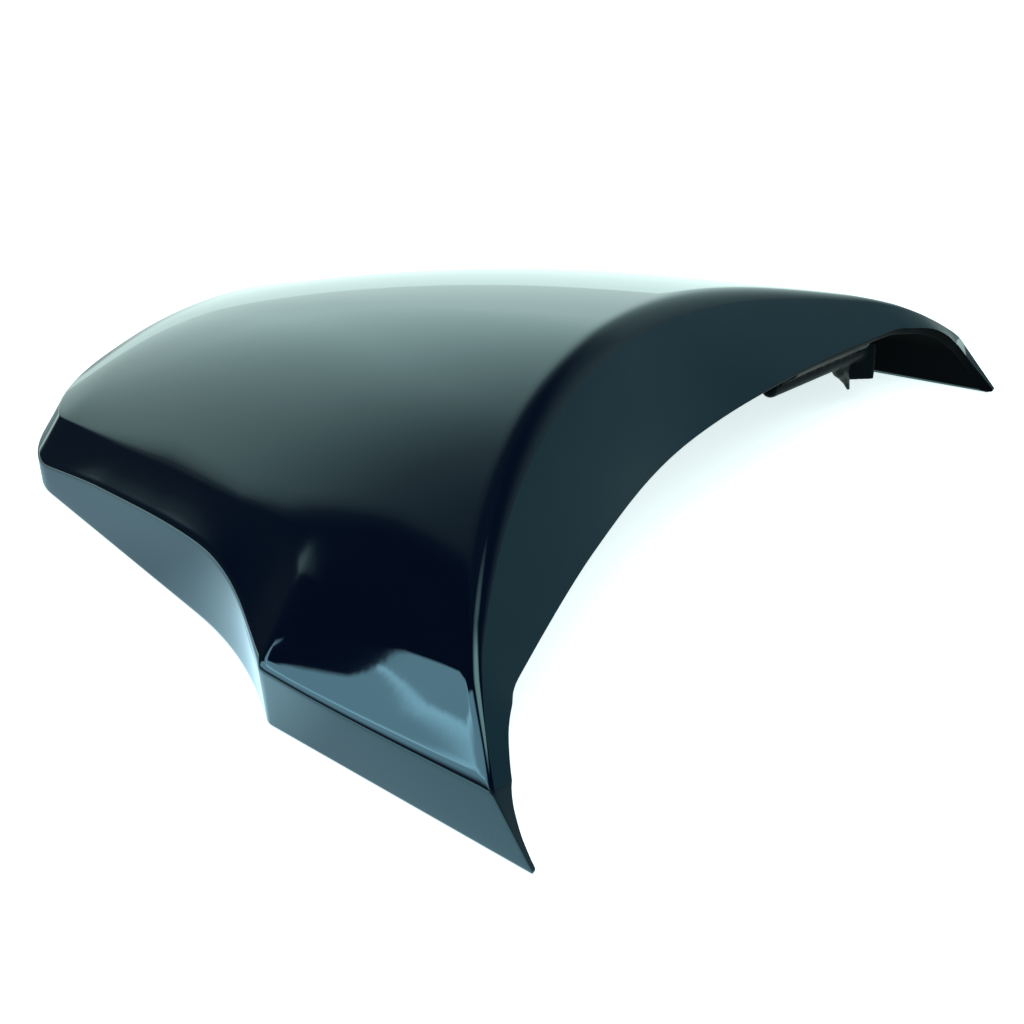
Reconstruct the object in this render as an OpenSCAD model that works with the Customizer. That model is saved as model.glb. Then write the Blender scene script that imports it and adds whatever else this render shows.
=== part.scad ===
// Seat cowl for the rear of a motorbike seat.
// One moulded shell with a leaning front fascia and two side wings.
// Under it are two hook brackets, a latch frame with a striker, and rubber buffers.
// Front is -Y, up is +Z. The origin is on the resting plane, mid width and mid length.

/* [Shell plan] */
// Length from the wing tips to the tail
body_len = 220; // [200:1:240]
// Half of the width over the wing tips
tip_half = 132; // [125:0.5:145]
// Half of the width at the rear corners of the wings
wing_half = 117.5; // [112:0.5:124]
// Length of a wing along its bottom edge
wing_len = 83; // [70:1:95]
// Half width that the straight flanks point to at the wings
waist_half = 105; // [98:0.5:110]
// Half width of the tail
tail_half = 55; // [48:0.5:62]
// Length of the concave sweep behind each wing
sweep_len = 45; // [35:1:60]
// Depth of the rounded end of the tail
tail_round = 22; // [16:0.5:26]

/* [Shell heights] */
// Height of the crest at the middle of the front
crest_h = 60; // [52:0.5:68]
// Height of the shoulder crease along the wings
shoulder_h = 33; // [29:0.5:37]
// Height of the shoulder crease at the tail corners
shoulder_tail_h = 14.5; // [12:0.5:18]
// Height of the fold line at the wing tips
fold_tip_h = 16; // [13:0.5:17]
// Height of the fold line at the rear corners of the wings
fold_rear_h = 17.5; // [15:0.5:20]
// Greatest height of the skirt behind the wings
skirt_h = 23.5; // [20:0.5:26]
// Height of the skirt at the tail
skirt_tail_h = 9.5; // [7:0.5:11]

/* [Shell crest and shoulder] */
// Setback of the crest from the wing tips at the middle
crest_back = 59; // [50:1:68]
// Setback of the front ends of the shoulder creases
shoulder_back = 31; // [26:1:38]
// Half width between the front ends of the shoulder creases
shoulder_half = 107; // [102:0.5:112]
// Half width between the shoulder creases at the tail
shoulder_tail_half = 53; // [48:0.5:54]
// Outward bow of the shoulder creases
shoulder_bow = 0.2; // [0:0.1:4]
// Inset of the shoulder crease from the end of the tail
tail_inset = 4; // [3:0.5:8]

/* [Fascia and wall] */
// Wall thickness of the moulding
wall = 2.6; // [2:0.1:3.4]
// Height of the fascia's lower lip at the middle
lip_h = 31; // [27:0.5:36]
// Setback of the lip from the wing tips at the middle
lip_back = 37.5; // [33:0.5:42]
// Half width over which the lip runs nearly level
lip_half = 101; // [98:0.5:106]
// Share of the fascia taken up by the rounded crest
crest_round = 0.16; // [0.05:0.01:0.25]

/* [Hook brackets] */
// Drop of a bracket's bar below the fascia's lip
hook_bar_drop = 5.5; // [5:0.5:8]
// Thickness of a bracket's bar
hook_bar_d = 6; // [5:0.5:7]
// Width of the hook
hook_w = 6; // [4:0.5:8]
// Depth of the hook below the bar
hook_drop = 13; // [9:0.5:14]

/* [Latch frame] */
// Height of the latch frame's upper face
frame_h = 18; // [16:0.5:22]
// Thickness of the latch frame's sheet
frame_t = 2; // [1.5:0.1:3]
// Diameter of the striker's round bar
striker_d = 6; // [5:0.5:8]
// Distance between the striker's legs
striker_w = 28; // [24:1:34]
// Height of the middle of the striker's cross bar
striker_bar_h = 5; // [4:0.5:6]
// Diameter of the posts that carry the latch frame
post_d = 13; // [11:0.5:16]
// Thread diameter of the screws
screw_d = 5; // [4:0.5:6]
// Diameter of the rubber buffers
buffer_d = 15; // [12:0.5:18]
// Depth of the rubber buffers below the latch frame
buffer_h = 8; // [6:0.5:10]

/* [Hidden] */

// Hook bracket details
flange_t = 2.4;
flange_rise = 0.4;
flange_steps = 6;
flange_caps = [[0, 1, 5], [1, 4, 5], [1, 2, 4], [2, 3, 4]];
lug_r = 6;
lug_len = 5;
lug_rim = 1.2;
lug_rim_t = 1.2;

// Latch frame details
frame_edge = 11;
window_w = 40;
window_len = 18;
post_rib_w = 20;
post_rib_t = 2.4;
bond_gap = 0.25;
roof_play = 0.1;
fit_gap = 0.05;
insert_d = 7;
insert_len = 7;
bore_play = 0.6;
screw_hole_d = screw_d + 0.5;
screw_head_h = 2.8;
washer_t = 1;
screw_len = washer_t + frame_t + insert_len - 1;
buffer_stem_d = 6;

// Grid of the shell: steps along each stretch and across each panel
wing_steps = 9;
sweep_steps = 8;
flank_steps = 7;
tail_steps = 8;
front_steps = 4;

// Blends two values or points
function mix(a, b, f) = a + (b - a) * f;
function unit(v) = v / norm(v);
function clamp01(f) = max(0, min(1, f));

// Smooth curve through stations of place and value
function slope(p, i) =
    i <= 0 ? (p[1][1] - p[0][1]) / (p[1][0] - p[0][0])
    : i >= len(p) - 1 ? (p[i][1] - p[i - 1][1]) / (p[i][0] - p[i - 1][0])
    : (p[i + 1][1] - p[i - 1][1]) / (p[i + 1][0] - p[i - 1][0]);
function stretch(p, x, i = 0) = i >= len(p) - 2 || x <= p[i + 1][0] ? i : stretch(p, x, i + 1);
function hermite(a, b, ma, mb, f) =
    a * (2 * f ^ 3 - 3 * f ^ 2 + 1) + ma * (f ^ 3 - 2 * f ^ 2 + f)
    + b * (3 * f ^ 2 - 2 * f ^ 3) + mb * (f ^ 3 - f ^ 2);
function curve(p, x) =
    let (i = stretch(p, x), h = p[i + 1][0] - p[i][0])
    hermite(p[i][1], p[i + 1][1], slope(p, i) * h, slope(p, i + 1) * h, (x - p[i][0]) / h);

// Plan of the skirt: straight wing, concave sweep, straight flank
shoulder_len = body_len - tail_inset;
flank_end = body_len - tail_round;
shoulder_end = shoulder_len - tail_round * 0.9;
round_power = 2.4;
function flank_half(y) = mix(waist_half, tail_half, (y - wing_len) / (body_len - wing_len));
function skirt_half(y) =
    y < wing_len ? mix(tip_half, wing_half, y / wing_len)
    : flank_half(y) + (wing_half - waist_half) * clamp01(1 - (y - wing_len) / sweep_len) ^ 2.2;

// How far the crease above the skirt stands out past its foot
tuck_line = [[0, -0.8], [wing_len, 2.2], [wing_len + sweep_len * 0.6, 0.6], [body_len, 0.8]];
crease_line = [[0, fold_tip_h], [wing_len, fold_rear_h], [wing_len + sweep_len * 0.78, skirt_h],
    [mix(wing_len, body_len, 0.62), mix(skirt_tail_h, skirt_h, 0.52)], [flank_end, skirt_tail_h]];

// Shoulder crease and ridge of the top
shoulder_flat = 60;
function shoulder_width(y) =
    let (f = (y - shoulder_back) / (shoulder_end - shoulder_back))
    mix(shoulder_half, shoulder_tail_half, f) + 4 * shoulder_bow * f * (1 - f);
function shoulder_height(y) =
    let (f = clamp01((y - shoulder_flat) / (shoulder_end - shoulder_flat)))
    mix(shoulder_h, shoulder_tail_h, f ^ 2.55);
ridge_tail_h = shoulder_tail_h + 0.7;
ridge_over = 2;
ridge_front_h = crest_h + 1.6;
function ridge_height(y) =
    let (f = clamp01((y - shoulder_back) / (shoulder_len + ridge_over - shoulder_back)))
    mix(ridge_tail_h, ridge_front_h, (1 - f ^ 1.75) ^ 0.72);

// Place along a rail at station s: 0 at the front, 1 wing corner, 2 end of sweep, 3 end of flank, 4 tail
function along(s, front, corner, sweep, end) =
    s < 1 ? mix(front, corner, s) : s < 2 ? mix(corner, sweep, s - 1) : mix(sweep, end, s - 2);
function round_x(s) = s <= 3 ? 1 : abs(cos(90 * (s - 3))) ^ (2 / round_power);
function round_y(s) = s <= 3 ? 0 : sin(90 * (s - 3)) ^ (2 / round_power);

// Foot of the skirt, crease above it and shoulder, as points of the left half
function foot(s) =
    let (y = along(min(s, 3), 0, wing_len, wing_len + sweep_len, flank_end))
    [skirt_half(y) * round_x(s), y + round_y(s) * (body_len - flank_end), 0];
function crease(s) =
    let (y = along(min(s, 3), fold_tip_h * 0.78, wing_len - 1, wing_len + sweep_len, flank_end))
    [(skirt_half(y) + curve(tuck_line, y)) * round_x(s), y + round_y(s) * (body_len - flank_end),
        curve(crease_line, y)];
function shoulder_y(s) =
    along(min(s, 3), shoulder_back, wing_len + 5, wing_len + sweep_len, shoulder_end)
    + round_y(s) * (shoulder_len - shoulder_end);
function shoulder_z(s) =
    mix(ridge_height(shoulder_len), shoulder_height(shoulder_y(min(s, 3))), s <= 3 ? 1 : cos(90 * (s - 3)));
function shoulder(s) =
    let (y = shoulder_y(s))
    [shoulder_width(min(y, shoulder_end)) * round_x(s), y, shoulder_z(s)];

// Top between the shoulders, t is 1 on the shoulder and 0 on the ridge
function top(s, t) =
    let (
        arch = (crest_back - shoulder_back) * clamp01(1 - s / 3),
        y = shoulder_y(s) + arch * (1 - t ^ 2.6),
        x = t * shoulder_width(min(y, shoulder_end)) * round_x(s),
        edge = s <= 3 ? shoulder_height(y) : shoulder_z(s)
    )
    [x, y, mix(ridge_height(y), edge, t ^ 1.8)];

// Section at station s, v runs 0 foot, 1 crease, 2 shoulder, 3 ridge
band_bulge = 2;
function panel(s, v) =
    v <= 1 ? mix(foot(s), crease(s), v)
    : v <= 2 ? mix(crease(s), shoulder(s), v - 1) + [1, 0, 1] * band_bulge * (v - 1) * (2 - v) * 2 * round_x(s)
    : top(s, 3 - v);
function rounded(s, c, before, after, v) =
    let (f = (v - c + before) / (before + after))
    panel(s, c - before) * (1 - f) ^ 2 + panel(s, c) * 2 * f * (1 - f) + panel(s, c + after) * f ^ 2;
crease_before = 0.07;
crease_after = 0.09;
shoulder_before = 0.25;
shoulder_after = 0.06;
function skin(s, v) =
    v > 1 - crease_before && v < 1 + crease_after ? rounded(s, 1, crease_before, crease_after, v)
    : v > 2 - shoulder_before && v < 2 + shoulder_after ? rounded(s, 2, shoulder_before, shoulder_after, v)
    : panel(s, v);

// Unit vector into the wall, by small steps over the skin
step = 0.02;
function inward(s, v) =
    let (
        sc = max(step, min(4 - 2 * step, s)),
        vc = max(step, min(3 - step, v)),
        a = skin(sc + step, vc) - skin(sc - step, vc),
        b = skin(sc, vc + step) - skin(sc, vc - step),
        n = unit(cross(b, a)),
        d = v >= 3 - step ? unit([0, n[1], n[2]]) : s >= 4 - step ? unit([0, n[1], n[2]]) : n
    )
    v <= 0 ? unit([d[0], d[1], 0]) : d;

// The inner face turns the fold line with a wider round than the outer face
inner_before = 0.3;
inner_after = 0.2;
function turning(v) = v > 1 - inner_before && v < 1 + inner_after;
function bend(a, m, b, v) =
    let (f = (v - 1 + inner_before) / (inner_before + inner_after))
    a * (1 - f) ^ 2 + m * 2 * f * (1 - f) + b * f ^ 2;
function wall_way(s, v) =
    let (a = inward(s, 1 - inner_before), b = inward(s, 1 + inner_after))
    turning(v) ? bend(a, (a + b) / (1 + a * b), b, v) : inward(s, v);
function wall_skin(s, v) =
    turning(v) ? bend(panel(s, 1 - inner_before), panel(s, 1), panel(s, 1 + inner_after), v) : skin(s, v);

// Lower lip of the fascia by section place v: up the wing's front edge, then nearly level
rim_lean = 0.6;
toe_from = 0.55;
toe = [3.4, 2.3, 0];
function rim(v) =
    let (f = max(0, v - toe_from) / (1 - toe_from))
    skin(0, v) - [wall, -rim_lean * v, 0] - toe * f ^ 2;
rim_top = rim(1);
lip_wide = [[1, rim_top[0]], [1.25, tip_half - 11.9], [1.5, tip_half - 15.4], [2, lip_half],
    [2.5, lip_half * 0.51], [3, 0], [3.5, -lip_half * 0.51]];
lip_deep = [[1, rim_top[1]], [1.25, lip_back - 24.4], [1.5, lip_back - 21.4], [2, lip_back - 14.8],
    [2.5, lip_back - 5.8], [3, lip_back], [3.5, lip_back - 5.8]];
lip_high = [[1, rim_top[2]], [1.25, lip_h - 11.4], [1.5, lip_h - 8.3], [2, lip_h - 4.4],
    [2.5, lip_h], [3, lip_h + 0.2], [3.5, lip_h]];
function lip(v) = v <= 1 ? rim(v) : [curve(lip_wide, v), curve(lip_deep, v), curve(lip_high, v)];
function fascia_in(v) =
    let (
        vc = max(step, min(3 - step, v)),
        a = lip(vc) - skin(0, vc),
        b = lip(vc + step) - lip(vc - step) + skin(0, vc + step) - skin(0, vc - step),
        n = unit(cross(a, b)),
        m = n[1] < 0 ? -n : n
    )
    v <= 0 ? [0, 1, 0] : v >= 3 ? unit([0, m[1], m[2]]) : m;

// Rows of the shell: front_steps rows over the fascia and crest, then the stations
stations = concat(
    [for (i = [1 : wing_steps]) i / wing_steps],
    [for (i = [1 : sweep_steps]) 1 + i / sweep_steps],
    [for (i = [1 : flank_steps]) 2 + i / flank_steps],
    [for (i = [1 : tail_steps]) 3 + i / tail_steps]);
columns = concat([0, 0.45, 0.75, 0.93, 0.98, 1.03, 1.09, 1.3, 1.52, 1.75, 1.84, 1.92, 2, 2.06],
    [for (i = [1 : 9]) mix(2.06, 3, i / 9)]);
half_count = len(columns) - 1;
span = 2 * half_count + 1;
rows = front_steps + 1 + len(stations);
function side_of(j) = j <= half_count ? -1 : 1;
function column_of(j) = columns[j <= half_count ? j : 2 * half_count - j];
function flip(p, j) = [p[0] * side_of(j), p[1] - body_len / 2, p[2]];

// Outer row k of the front: lip, middle of the fascia, then the rounded crest
function crest_step(v) = mix(0.015, 0.09, clamp01((v - 1) / 1.2));
function front_outer(k, v) =
    let (a = mix(skin(0, v), lip(v), crest_round), b = skin(crest_step(v), v), c = skin(0, v))
    k == 0 ? lip(v) : k == 1 ? mix(lip(v), a, 0.5) : k == 2 ? a
    : k == 3 ? a * 0.25 + c * 0.5 + b * 0.25 : b;
function front_inner(k, v) =
    let (
        n1 = unit(wall_way(0.03, v)),
        n2 = fascia_in(v),
        rise = skin(0, v) - lip(v),
        corner = wall_skin(0, v) + wall * (n1 + n2) / (1 + n1 * n2),
        left = (corner - lip(v)) * unit(rise),
        p = corner - unit(rise) * max(left, norm(rise) * 0.1) * (1 - k / front_steps)
    )
    v <= 0 ? [p[0], p[1], 0] : p;
function inner(s, v) =
    let (p = wall_skin(s, v) + wall * wall_way(s, v))
    v <= 0 ? [p[0], p[1], 0] : s >= 4 ? [0, p[1], p[2]] : v >= 3 ? [0, p[1], p[2]] : p;

outer_points = [for (r = [0 : rows - 1], j = [0 : span - 1])
    let (v = column_of(j))
    flip(r <= front_steps ? front_outer(r, v) : skin(stations[r - front_steps - 1], v), j)];
inner_points = [for (r = [0 : rows - 1], j = [0 : span - 1])
    let (v = column_of(j))
    flip(r <= front_steps ? front_inner(r, v) : inner(stations[r - front_steps - 1], v), j)];

// In the last row the two sides meet, and the top ends in one point
function seam(j) =
    let (m = min(j, span - 1 - j))
    columns[m] >= 2 ? half_count : m;
function at(r, j) = r * span + (r == rows - 1 ? seam(j) : j);
function distinct(f) = f[0] != f[1] && f[1] != f[2] && f[2] != f[0];
function quad(a, b, c, d) = [for (f = [[a, b, c], [a, c, d]]) if (distinct(f)) f];
base = rows * span;

module shell() {
    color("#0c1418")
    polyhedron(
        points = concat(outer_points, inner_points),
        faces = concat(
            [for (r = [0 : rows - 2], j = [0 : span - 2])
                each quad(at(r, j), at(r + 1, j), at(r + 1, j + 1), at(r, j + 1))],
            [for (r = [0 : rows - 2], j = [0 : span - 2])
                each quad(base + at(r, j), base + at(r, j + 1), base + at(r + 1, j + 1), base + at(r + 1, j))],
            [for (j = [0 : span - 2])
                each quad(at(0, j), at(0, j + 1), base + at(0, j + 1), base + at(0, j))],
            [for (r = [0 : rows - 2])
                each quad(at(r, 0), base + at(r, 0), base + at(r + 1, 0), at(r + 1, 0))],
            [for (r = [0 : rows - 2])
                each quad(at(r, span - 1), at(r + 1, span - 1), base + at(r + 1, span - 1), base + at(r, span - 1))]));
}

// Spots on the latch frame: half spacing across, and distance from the wing tips
function spot(across, back) = [shoulder_width(body_len * back) * across, body_len * back];
post_spots = [spot(0.55, 0.51), spot(0.5, 0.82)];
buffer_spots = [post_spots[0] + [-18, 6], post_spots[1] + [-15, 4]];
window_y = mix(post_spots[0][1], post_spots[1][1], 0.31);
striker_y = mix(post_spots[0][1], post_spots[1][1], 0.67);

// Height of the underside of the top over a place on the plan
function crown(x, y) =
    mix(ridge_height(y), shoulder_height(y), min(1, abs(x) / shoulder_width(y)) ^ 1.8);
function roof(x, y) =
    crown(x, y) - wall * norm([crown(x + 1, y) - crown(x, y), crown(x, y + 1) - crown(x, y), 1]) - roof_play;

// Moves a piece given from the wing tips into the model's frame
module placed(x, y, z) {
    translate([x, y - body_len / 2, z])
        children();
}

// Bracket bonded behind the fascia at each side, built for the +X side
bar_drop = [0, 4.6, -hook_bar_drop];
bar_in = lip(2.52) + bar_drop;
bar_out = lip(1.98) + bar_drop;
hook_at = mix(bar_in, bar_out, 0.78);

// Section of the bonded flange, from the bar up behind the fascia
function flange(v) =
    let (
        n = fascia_in(v),
        low = lip(v) + bar_drop,
        high = mix(lip(v), skin(0, v), flange_rise),
        off = wall + bond_gap
    )
    [low - [0, flange_t / 2, 0], lip(v) + off * n, high + off * n,
        high + (off + flange_t) * n, lip(v) + (off + flange_t) * n, low + [0, flange_t / 2, 0]];
module loft(sections, caps) {
    n = len(sections[0]);
    last = len(sections) - 1;
    polyhedron(
        points = [for (q = sections) each q],
        faces = concat(
            caps,
            [for (f = caps) [for (i = [len(f) - 1 : -1 : 0]) last * n + f[i]]],
            [for (r = [0 : last - 1], i = [0 : n - 1])
                each [[r * n + i, (r + 1) * n + i, r * n + (i + 1) % n],
                    [(r + 1) * n + i, (r + 1) * n + (i + 1) % n, r * n + (i + 1) % n]]]));
}
module claw() {
    rotate([90, 0, 0])
        linear_extrude(height = hook_w, center = true)
            difference() {
                union() {
                    translate([-hook_w / 2, -hook_drop * 0.45])
                        square([hook_w, hook_drop * 0.45]);
                    translate([-hook_w / 2, -hook_drop * 0.45])
                        intersection() {
                            circle(r = hook_w * 1.35, $fn = 48);
                            translate([0, -hook_w * 1.35])
                                square([hook_w * 1.35, hook_w * 1.35]);
                        }
                }
                translate([-hook_w * 0.62, -hook_drop * 0.45])
                    circle(r = hook_w * 0.72, $fn = 48);
            }
}
module hook_bracket() {
    placed(0, 0, 0) {
        hull() {
            translate(bar_in)
                sphere(d = hook_bar_d, $fn = 24);
            translate(bar_out)
                sphere(d = hook_bar_d, $fn = 24);
        }
        loft([for (i = [0 : flange_steps]) flange(mix(2.07, 2.46, i / flange_steps))], flange_caps);
        translate(hook_at - [0, 0, hook_bar_d * 0.3])
            claw();
        translate(bar_out - [1, 0, lug_r * 0.8])
            rotate([0, 90, 0])
                lug();
    }
}
module lug() {
    linear_extrude(height = lug_len)
        lug_face(lug_r);
    translate([0, 0, lug_len])
        linear_extrude(height = lug_rim_t)
            lug_face(lug_r + lug_rim);
}
module lug_face(r) {
    circle(r = r, $fn = 64);
    translate([0, -r])
        square([r * 1.15, 2 * r]);
}
module hook_bracket_right() {
    color("#15191c")
        hook_bracket();
}
module hook_bracket_left() {
    color("#15191c")
        mirror([1, 0, 0])
            hook_bracket();
}

// Steel latch frame, a plate with a window and flared ears
module frame_outline() {
    hull()
        for (p = post_spots, side = [-1, 1])
            translate([side * p[0], p[1]])
                circle(r = frame_edge, $fn = 32);
}
module latch_frame() {
    color("#23272a")
        placed(0, 0, frame_h - frame_t)
            difference() {
                linear_extrude(height = frame_t)
                    difference() {
                        frame_outline();
                        translate([0, window_y])
                            square([window_w, window_len], center = true);
                    }
                for (p = post_spots, side = [-1, 1])
                    translate([side * p[0], p[1], -1])
                        cylinder(d = screw_hole_d, h = frame_t + 2, $fn = 48);
                for (p = buffer_spots, side = [-1, 1])
                    translate([side * p[0], p[1], -1])
                        cylinder(d = buffer_stem_d + 2 * fit_gap, h = frame_t + 2, $fn = 48);
                for (side = [-1, 1])
                    translate([side * striker_w / 2, striker_y, -1])
                        cylinder(d = striker_d + 2 * fit_gap, h = frame_t + 2, $fn = 48);
            }
}

// Standoff bonded under the roof, its top shaped to the roof
module under_roof(x, y) {
    reach = post_rib_w / 2 + 1;
    steps = 6;
    way = [for (i = [0 : steps]) reach * (2 * i / steps - 1)];
    loft([for (b = way) concat(
        [[reach, b, 0], [-reach, b, 0]],
        [for (a = way) [a, b, roof(x + a, y + b) - bond_gap - frame_h]])],
        [[for (i = [0 : steps + 2]) i]]);
}
module post(x, y) {
    color("#1b1f22")
        placed(x, y, frame_h)
            difference() {
                intersection() {
                    union() {
                        cylinder(d = post_d, h = crest_h, $fn = 48);
                        for (turn = [0, 90])
                            rotate([0, 0, turn])
                                translate([-post_rib_w / 2, -post_rib_t / 2, 0])
                                    cube([post_rib_w, post_rib_t, crest_h]);
                    }
                    under_roof(x, y);
                }
                translate([0, 0, -1])
                    cylinder(d = insert_d, h = insert_len + bore_play + 1, $fn = 48);
            }
}
module post_front_left() post(-post_spots[0][0], post_spots[0][1]);
module post_front_right() post(post_spots[0][0], post_spots[0][1]);
module post_rear_left() post(-post_spots[1][0], post_spots[1][1]);
module post_rear_right() post(post_spots[1][0], post_spots[1][1]);

// Brass inserts in the posts, with the bore that takes the screws
module inserts() {
    color("#b08d4a")
        for (p = post_spots, side = [-1, 1])
            placed(side * p[0], p[1], frame_h)
                difference() {
                    cylinder(d = insert_d - 2 * fit_gap, h = insert_len, $fn = 48);
                    translate([0, 0, -1])
                        cylinder(d = screw_d + 2 * fit_gap, h = insert_len + 2, $fn = 48);
                }
}
module washers() {
    color("#9aa0a4")
        for (p = post_spots, side = [-1, 1])
            placed(side * p[0], p[1], frame_h - frame_t - washer_t)
                difference() {
                    cylinder(d = screw_d * 2.1, h = washer_t, $fn = 48);
                    translate([0, 0, -1])
                        cylinder(d = screw_d + 0.4, h = washer_t + 2, $fn = 48);
                }
}
module screws() {
    color("#8d9397")
        for (p = post_spots, side = [-1, 1])
            placed(side * p[0], p[1], frame_h - frame_t - washer_t)
                difference() {
                    union() {
                        translate([0, 0, -0.5])
                            cylinder(d = screw_d, h = screw_len + 0.5, $fn = 48);
                        translate([0, 0, -screw_head_h])
                            rotate_extrude($fn = 48)
                                intersection() {
                                    square([screw_d * 0.9, screw_head_h]);
                                    translate([0, screw_d * 1.1])
                                        circle(r = screw_d * 1.22, $fn = 64);
                                }
                    }
                    translate([0, 0, -screw_head_h - 1])
                        cylinder(d = screw_d * 0.7, h = screw_head_h, $fn = 6);
                }
}

// Round bar of the latch striker, two legs and a cross bar with bent corners
module striker() {
    bend = striker_d * 1.1;
    drop = frame_h - striker_bar_h;
    color("#a4a9ac")
        placed(0, striker_y, 0)
            union() {
                for (side = [-1, 1]) {
                    translate([side * striker_w / 2, 0, striker_bar_h + bend])
                        cylinder(d = striker_d, h = drop - bend + 1.5, $fn = 48);
                    translate([side * striker_w / 2, 0, frame_h])
                        cylinder(d = striker_d + 4, h = 1.5, $fn = 48);
                    translate([side * (striker_w / 2 - bend), 0, striker_bar_h + bend])
                        rotate([90, 0, 0])
                            rotate([0, 0, side > 0 ? -90 : 180])
                                rotate_extrude(angle = 90, $fn = 48)
                                    translate([bend, 0])
                                        circle(d = striker_d, $fn = 48);
                }
                translate([-striker_w / 2 + bend, 0, striker_bar_h])
                    rotate([0, 90, 0])
                        cylinder(d = striker_d, h = striker_w - 2 * bend, $fn = 48);
            }
}

// Rubber buffer pushed up through the plate: domed foot, neck and barb
module buffer(x, y) {
    color("#17191a")
        placed(x, y, frame_h)
            rotate_extrude($fn = 48)
                polygon([[0, -frame_t - buffer_h], [buffer_d * 0.32, -frame_t - buffer_h],
                    [buffer_d * 0.46, -frame_t - buffer_h + 1.2], [buffer_d / 2, -frame_t - buffer_h * 0.4],
                    [buffer_d / 2, -frame_t - fit_gap], [buffer_stem_d / 2, -frame_t - fit_gap],
                    [buffer_stem_d / 2, fit_gap], [buffer_stem_d * 0.72, fit_gap],
                    [buffer_stem_d * 0.7, 1.4], [buffer_stem_d * 0.35, 4], [0, 4]]);
}
module buffer_front_left() buffer(-buffer_spots[0][0], buffer_spots[0][1]);
module buffer_front_right() buffer(buffer_spots[0][0], buffer_spots[0][1]);
module buffer_rear_left() buffer(-buffer_spots[1][0], buffer_spots[1][1]);
module buffer_rear_right() buffer(buffer_spots[1][0], buffer_spots[1][1]);

shell();
hook_bracket_left();
hook_bracket_right();
latch_frame();
post_front_left();
post_front_right();
post_rear_left();
post_rear_right();
inserts();
washers();
screws();
striker();
buffer_front_left();
buffer_front_right();
buffer_rear_left();
buffer_rear_right();
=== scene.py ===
"""Seat cowl for a motorbike: a gloss black moulded shell on a pale studio floor."""

from __future__ import annotations

import logging
import math
from collections.abc import Callable
from dataclasses import dataclass, field
from enum import Enum

import bmesh
import bpy
import numpy as np
from mathutils import Matrix, Vector

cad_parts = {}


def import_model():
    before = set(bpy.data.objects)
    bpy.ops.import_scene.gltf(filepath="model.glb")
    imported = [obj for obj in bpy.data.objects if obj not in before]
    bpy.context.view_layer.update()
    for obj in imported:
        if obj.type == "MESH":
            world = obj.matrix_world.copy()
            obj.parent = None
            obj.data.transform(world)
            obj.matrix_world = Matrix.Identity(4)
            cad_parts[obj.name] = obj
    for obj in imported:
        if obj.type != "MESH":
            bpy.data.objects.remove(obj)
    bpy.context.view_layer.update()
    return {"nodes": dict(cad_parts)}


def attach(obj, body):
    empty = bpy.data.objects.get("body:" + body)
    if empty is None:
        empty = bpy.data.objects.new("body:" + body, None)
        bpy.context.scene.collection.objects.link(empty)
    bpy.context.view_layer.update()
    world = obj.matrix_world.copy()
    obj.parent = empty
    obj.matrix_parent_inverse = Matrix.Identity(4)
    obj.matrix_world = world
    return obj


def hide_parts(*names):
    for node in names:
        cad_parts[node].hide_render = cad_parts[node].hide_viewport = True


LOG = logging.getLogger("seat_cowl")
MM = 0.001


def linear(hex_colour: str) -> tuple[float, float, float, float]:
    """Turns an sRGB hex colour into the linear colour that a socket takes.

    Args:
        hex_colour: Six hex digits.

    Returns:
        Red, green and blue, all linear, and an alpha of 1.
    """
    parts = [int(hex_colour[i : i + 2], 16) / 255 for i in (0, 2, 4)]
    red, green, blue = [p / 12.92 if p <= 0.04045 else ((p + 0.055) / 1.055) ** 2.4 for p in parts]
    return red, green, blue, 1.0


def add_node(
    tree: bpy.types.NodeTree, kind: str, sockets: dict[int | str, object] | None = None, **settings: object
) -> bpy.types.Node:
    """Adds a node, gives it its settings and fills or links its sockets.

    Args:
        tree: Node tree that gets the node.
        kind: Blender's name for the node type.
        sockets: Socket name or index to a value, to the output socket that feeds it, or to a node whose
            first output feeds it.
        **settings: Properties of the node itself.

    Returns:
        The new node.
    """
    node = tree.nodes.new(kind)
    for name, value in settings.items():
        setattr(node, name, value)
    for key, value in (sockets or {}).items():
        if isinstance(value, bpy.types.Node):
            value = value.outputs[0]
        if isinstance(value, bpy.types.NodeSocket):
            tree.links.new(value, node.inputs[key])
        else:
            node.inputs[key].default_value = value
    return node


class Face(Enum):
    """Material slots of the shell's mesh."""

    GLOSS = 0
    SATIN = 1
    INSIDE = 2


class Side(Enum):
    """Sides of the cowl, by the sign of x."""

    RIGHT = 1
    LEFT = -1


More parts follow.
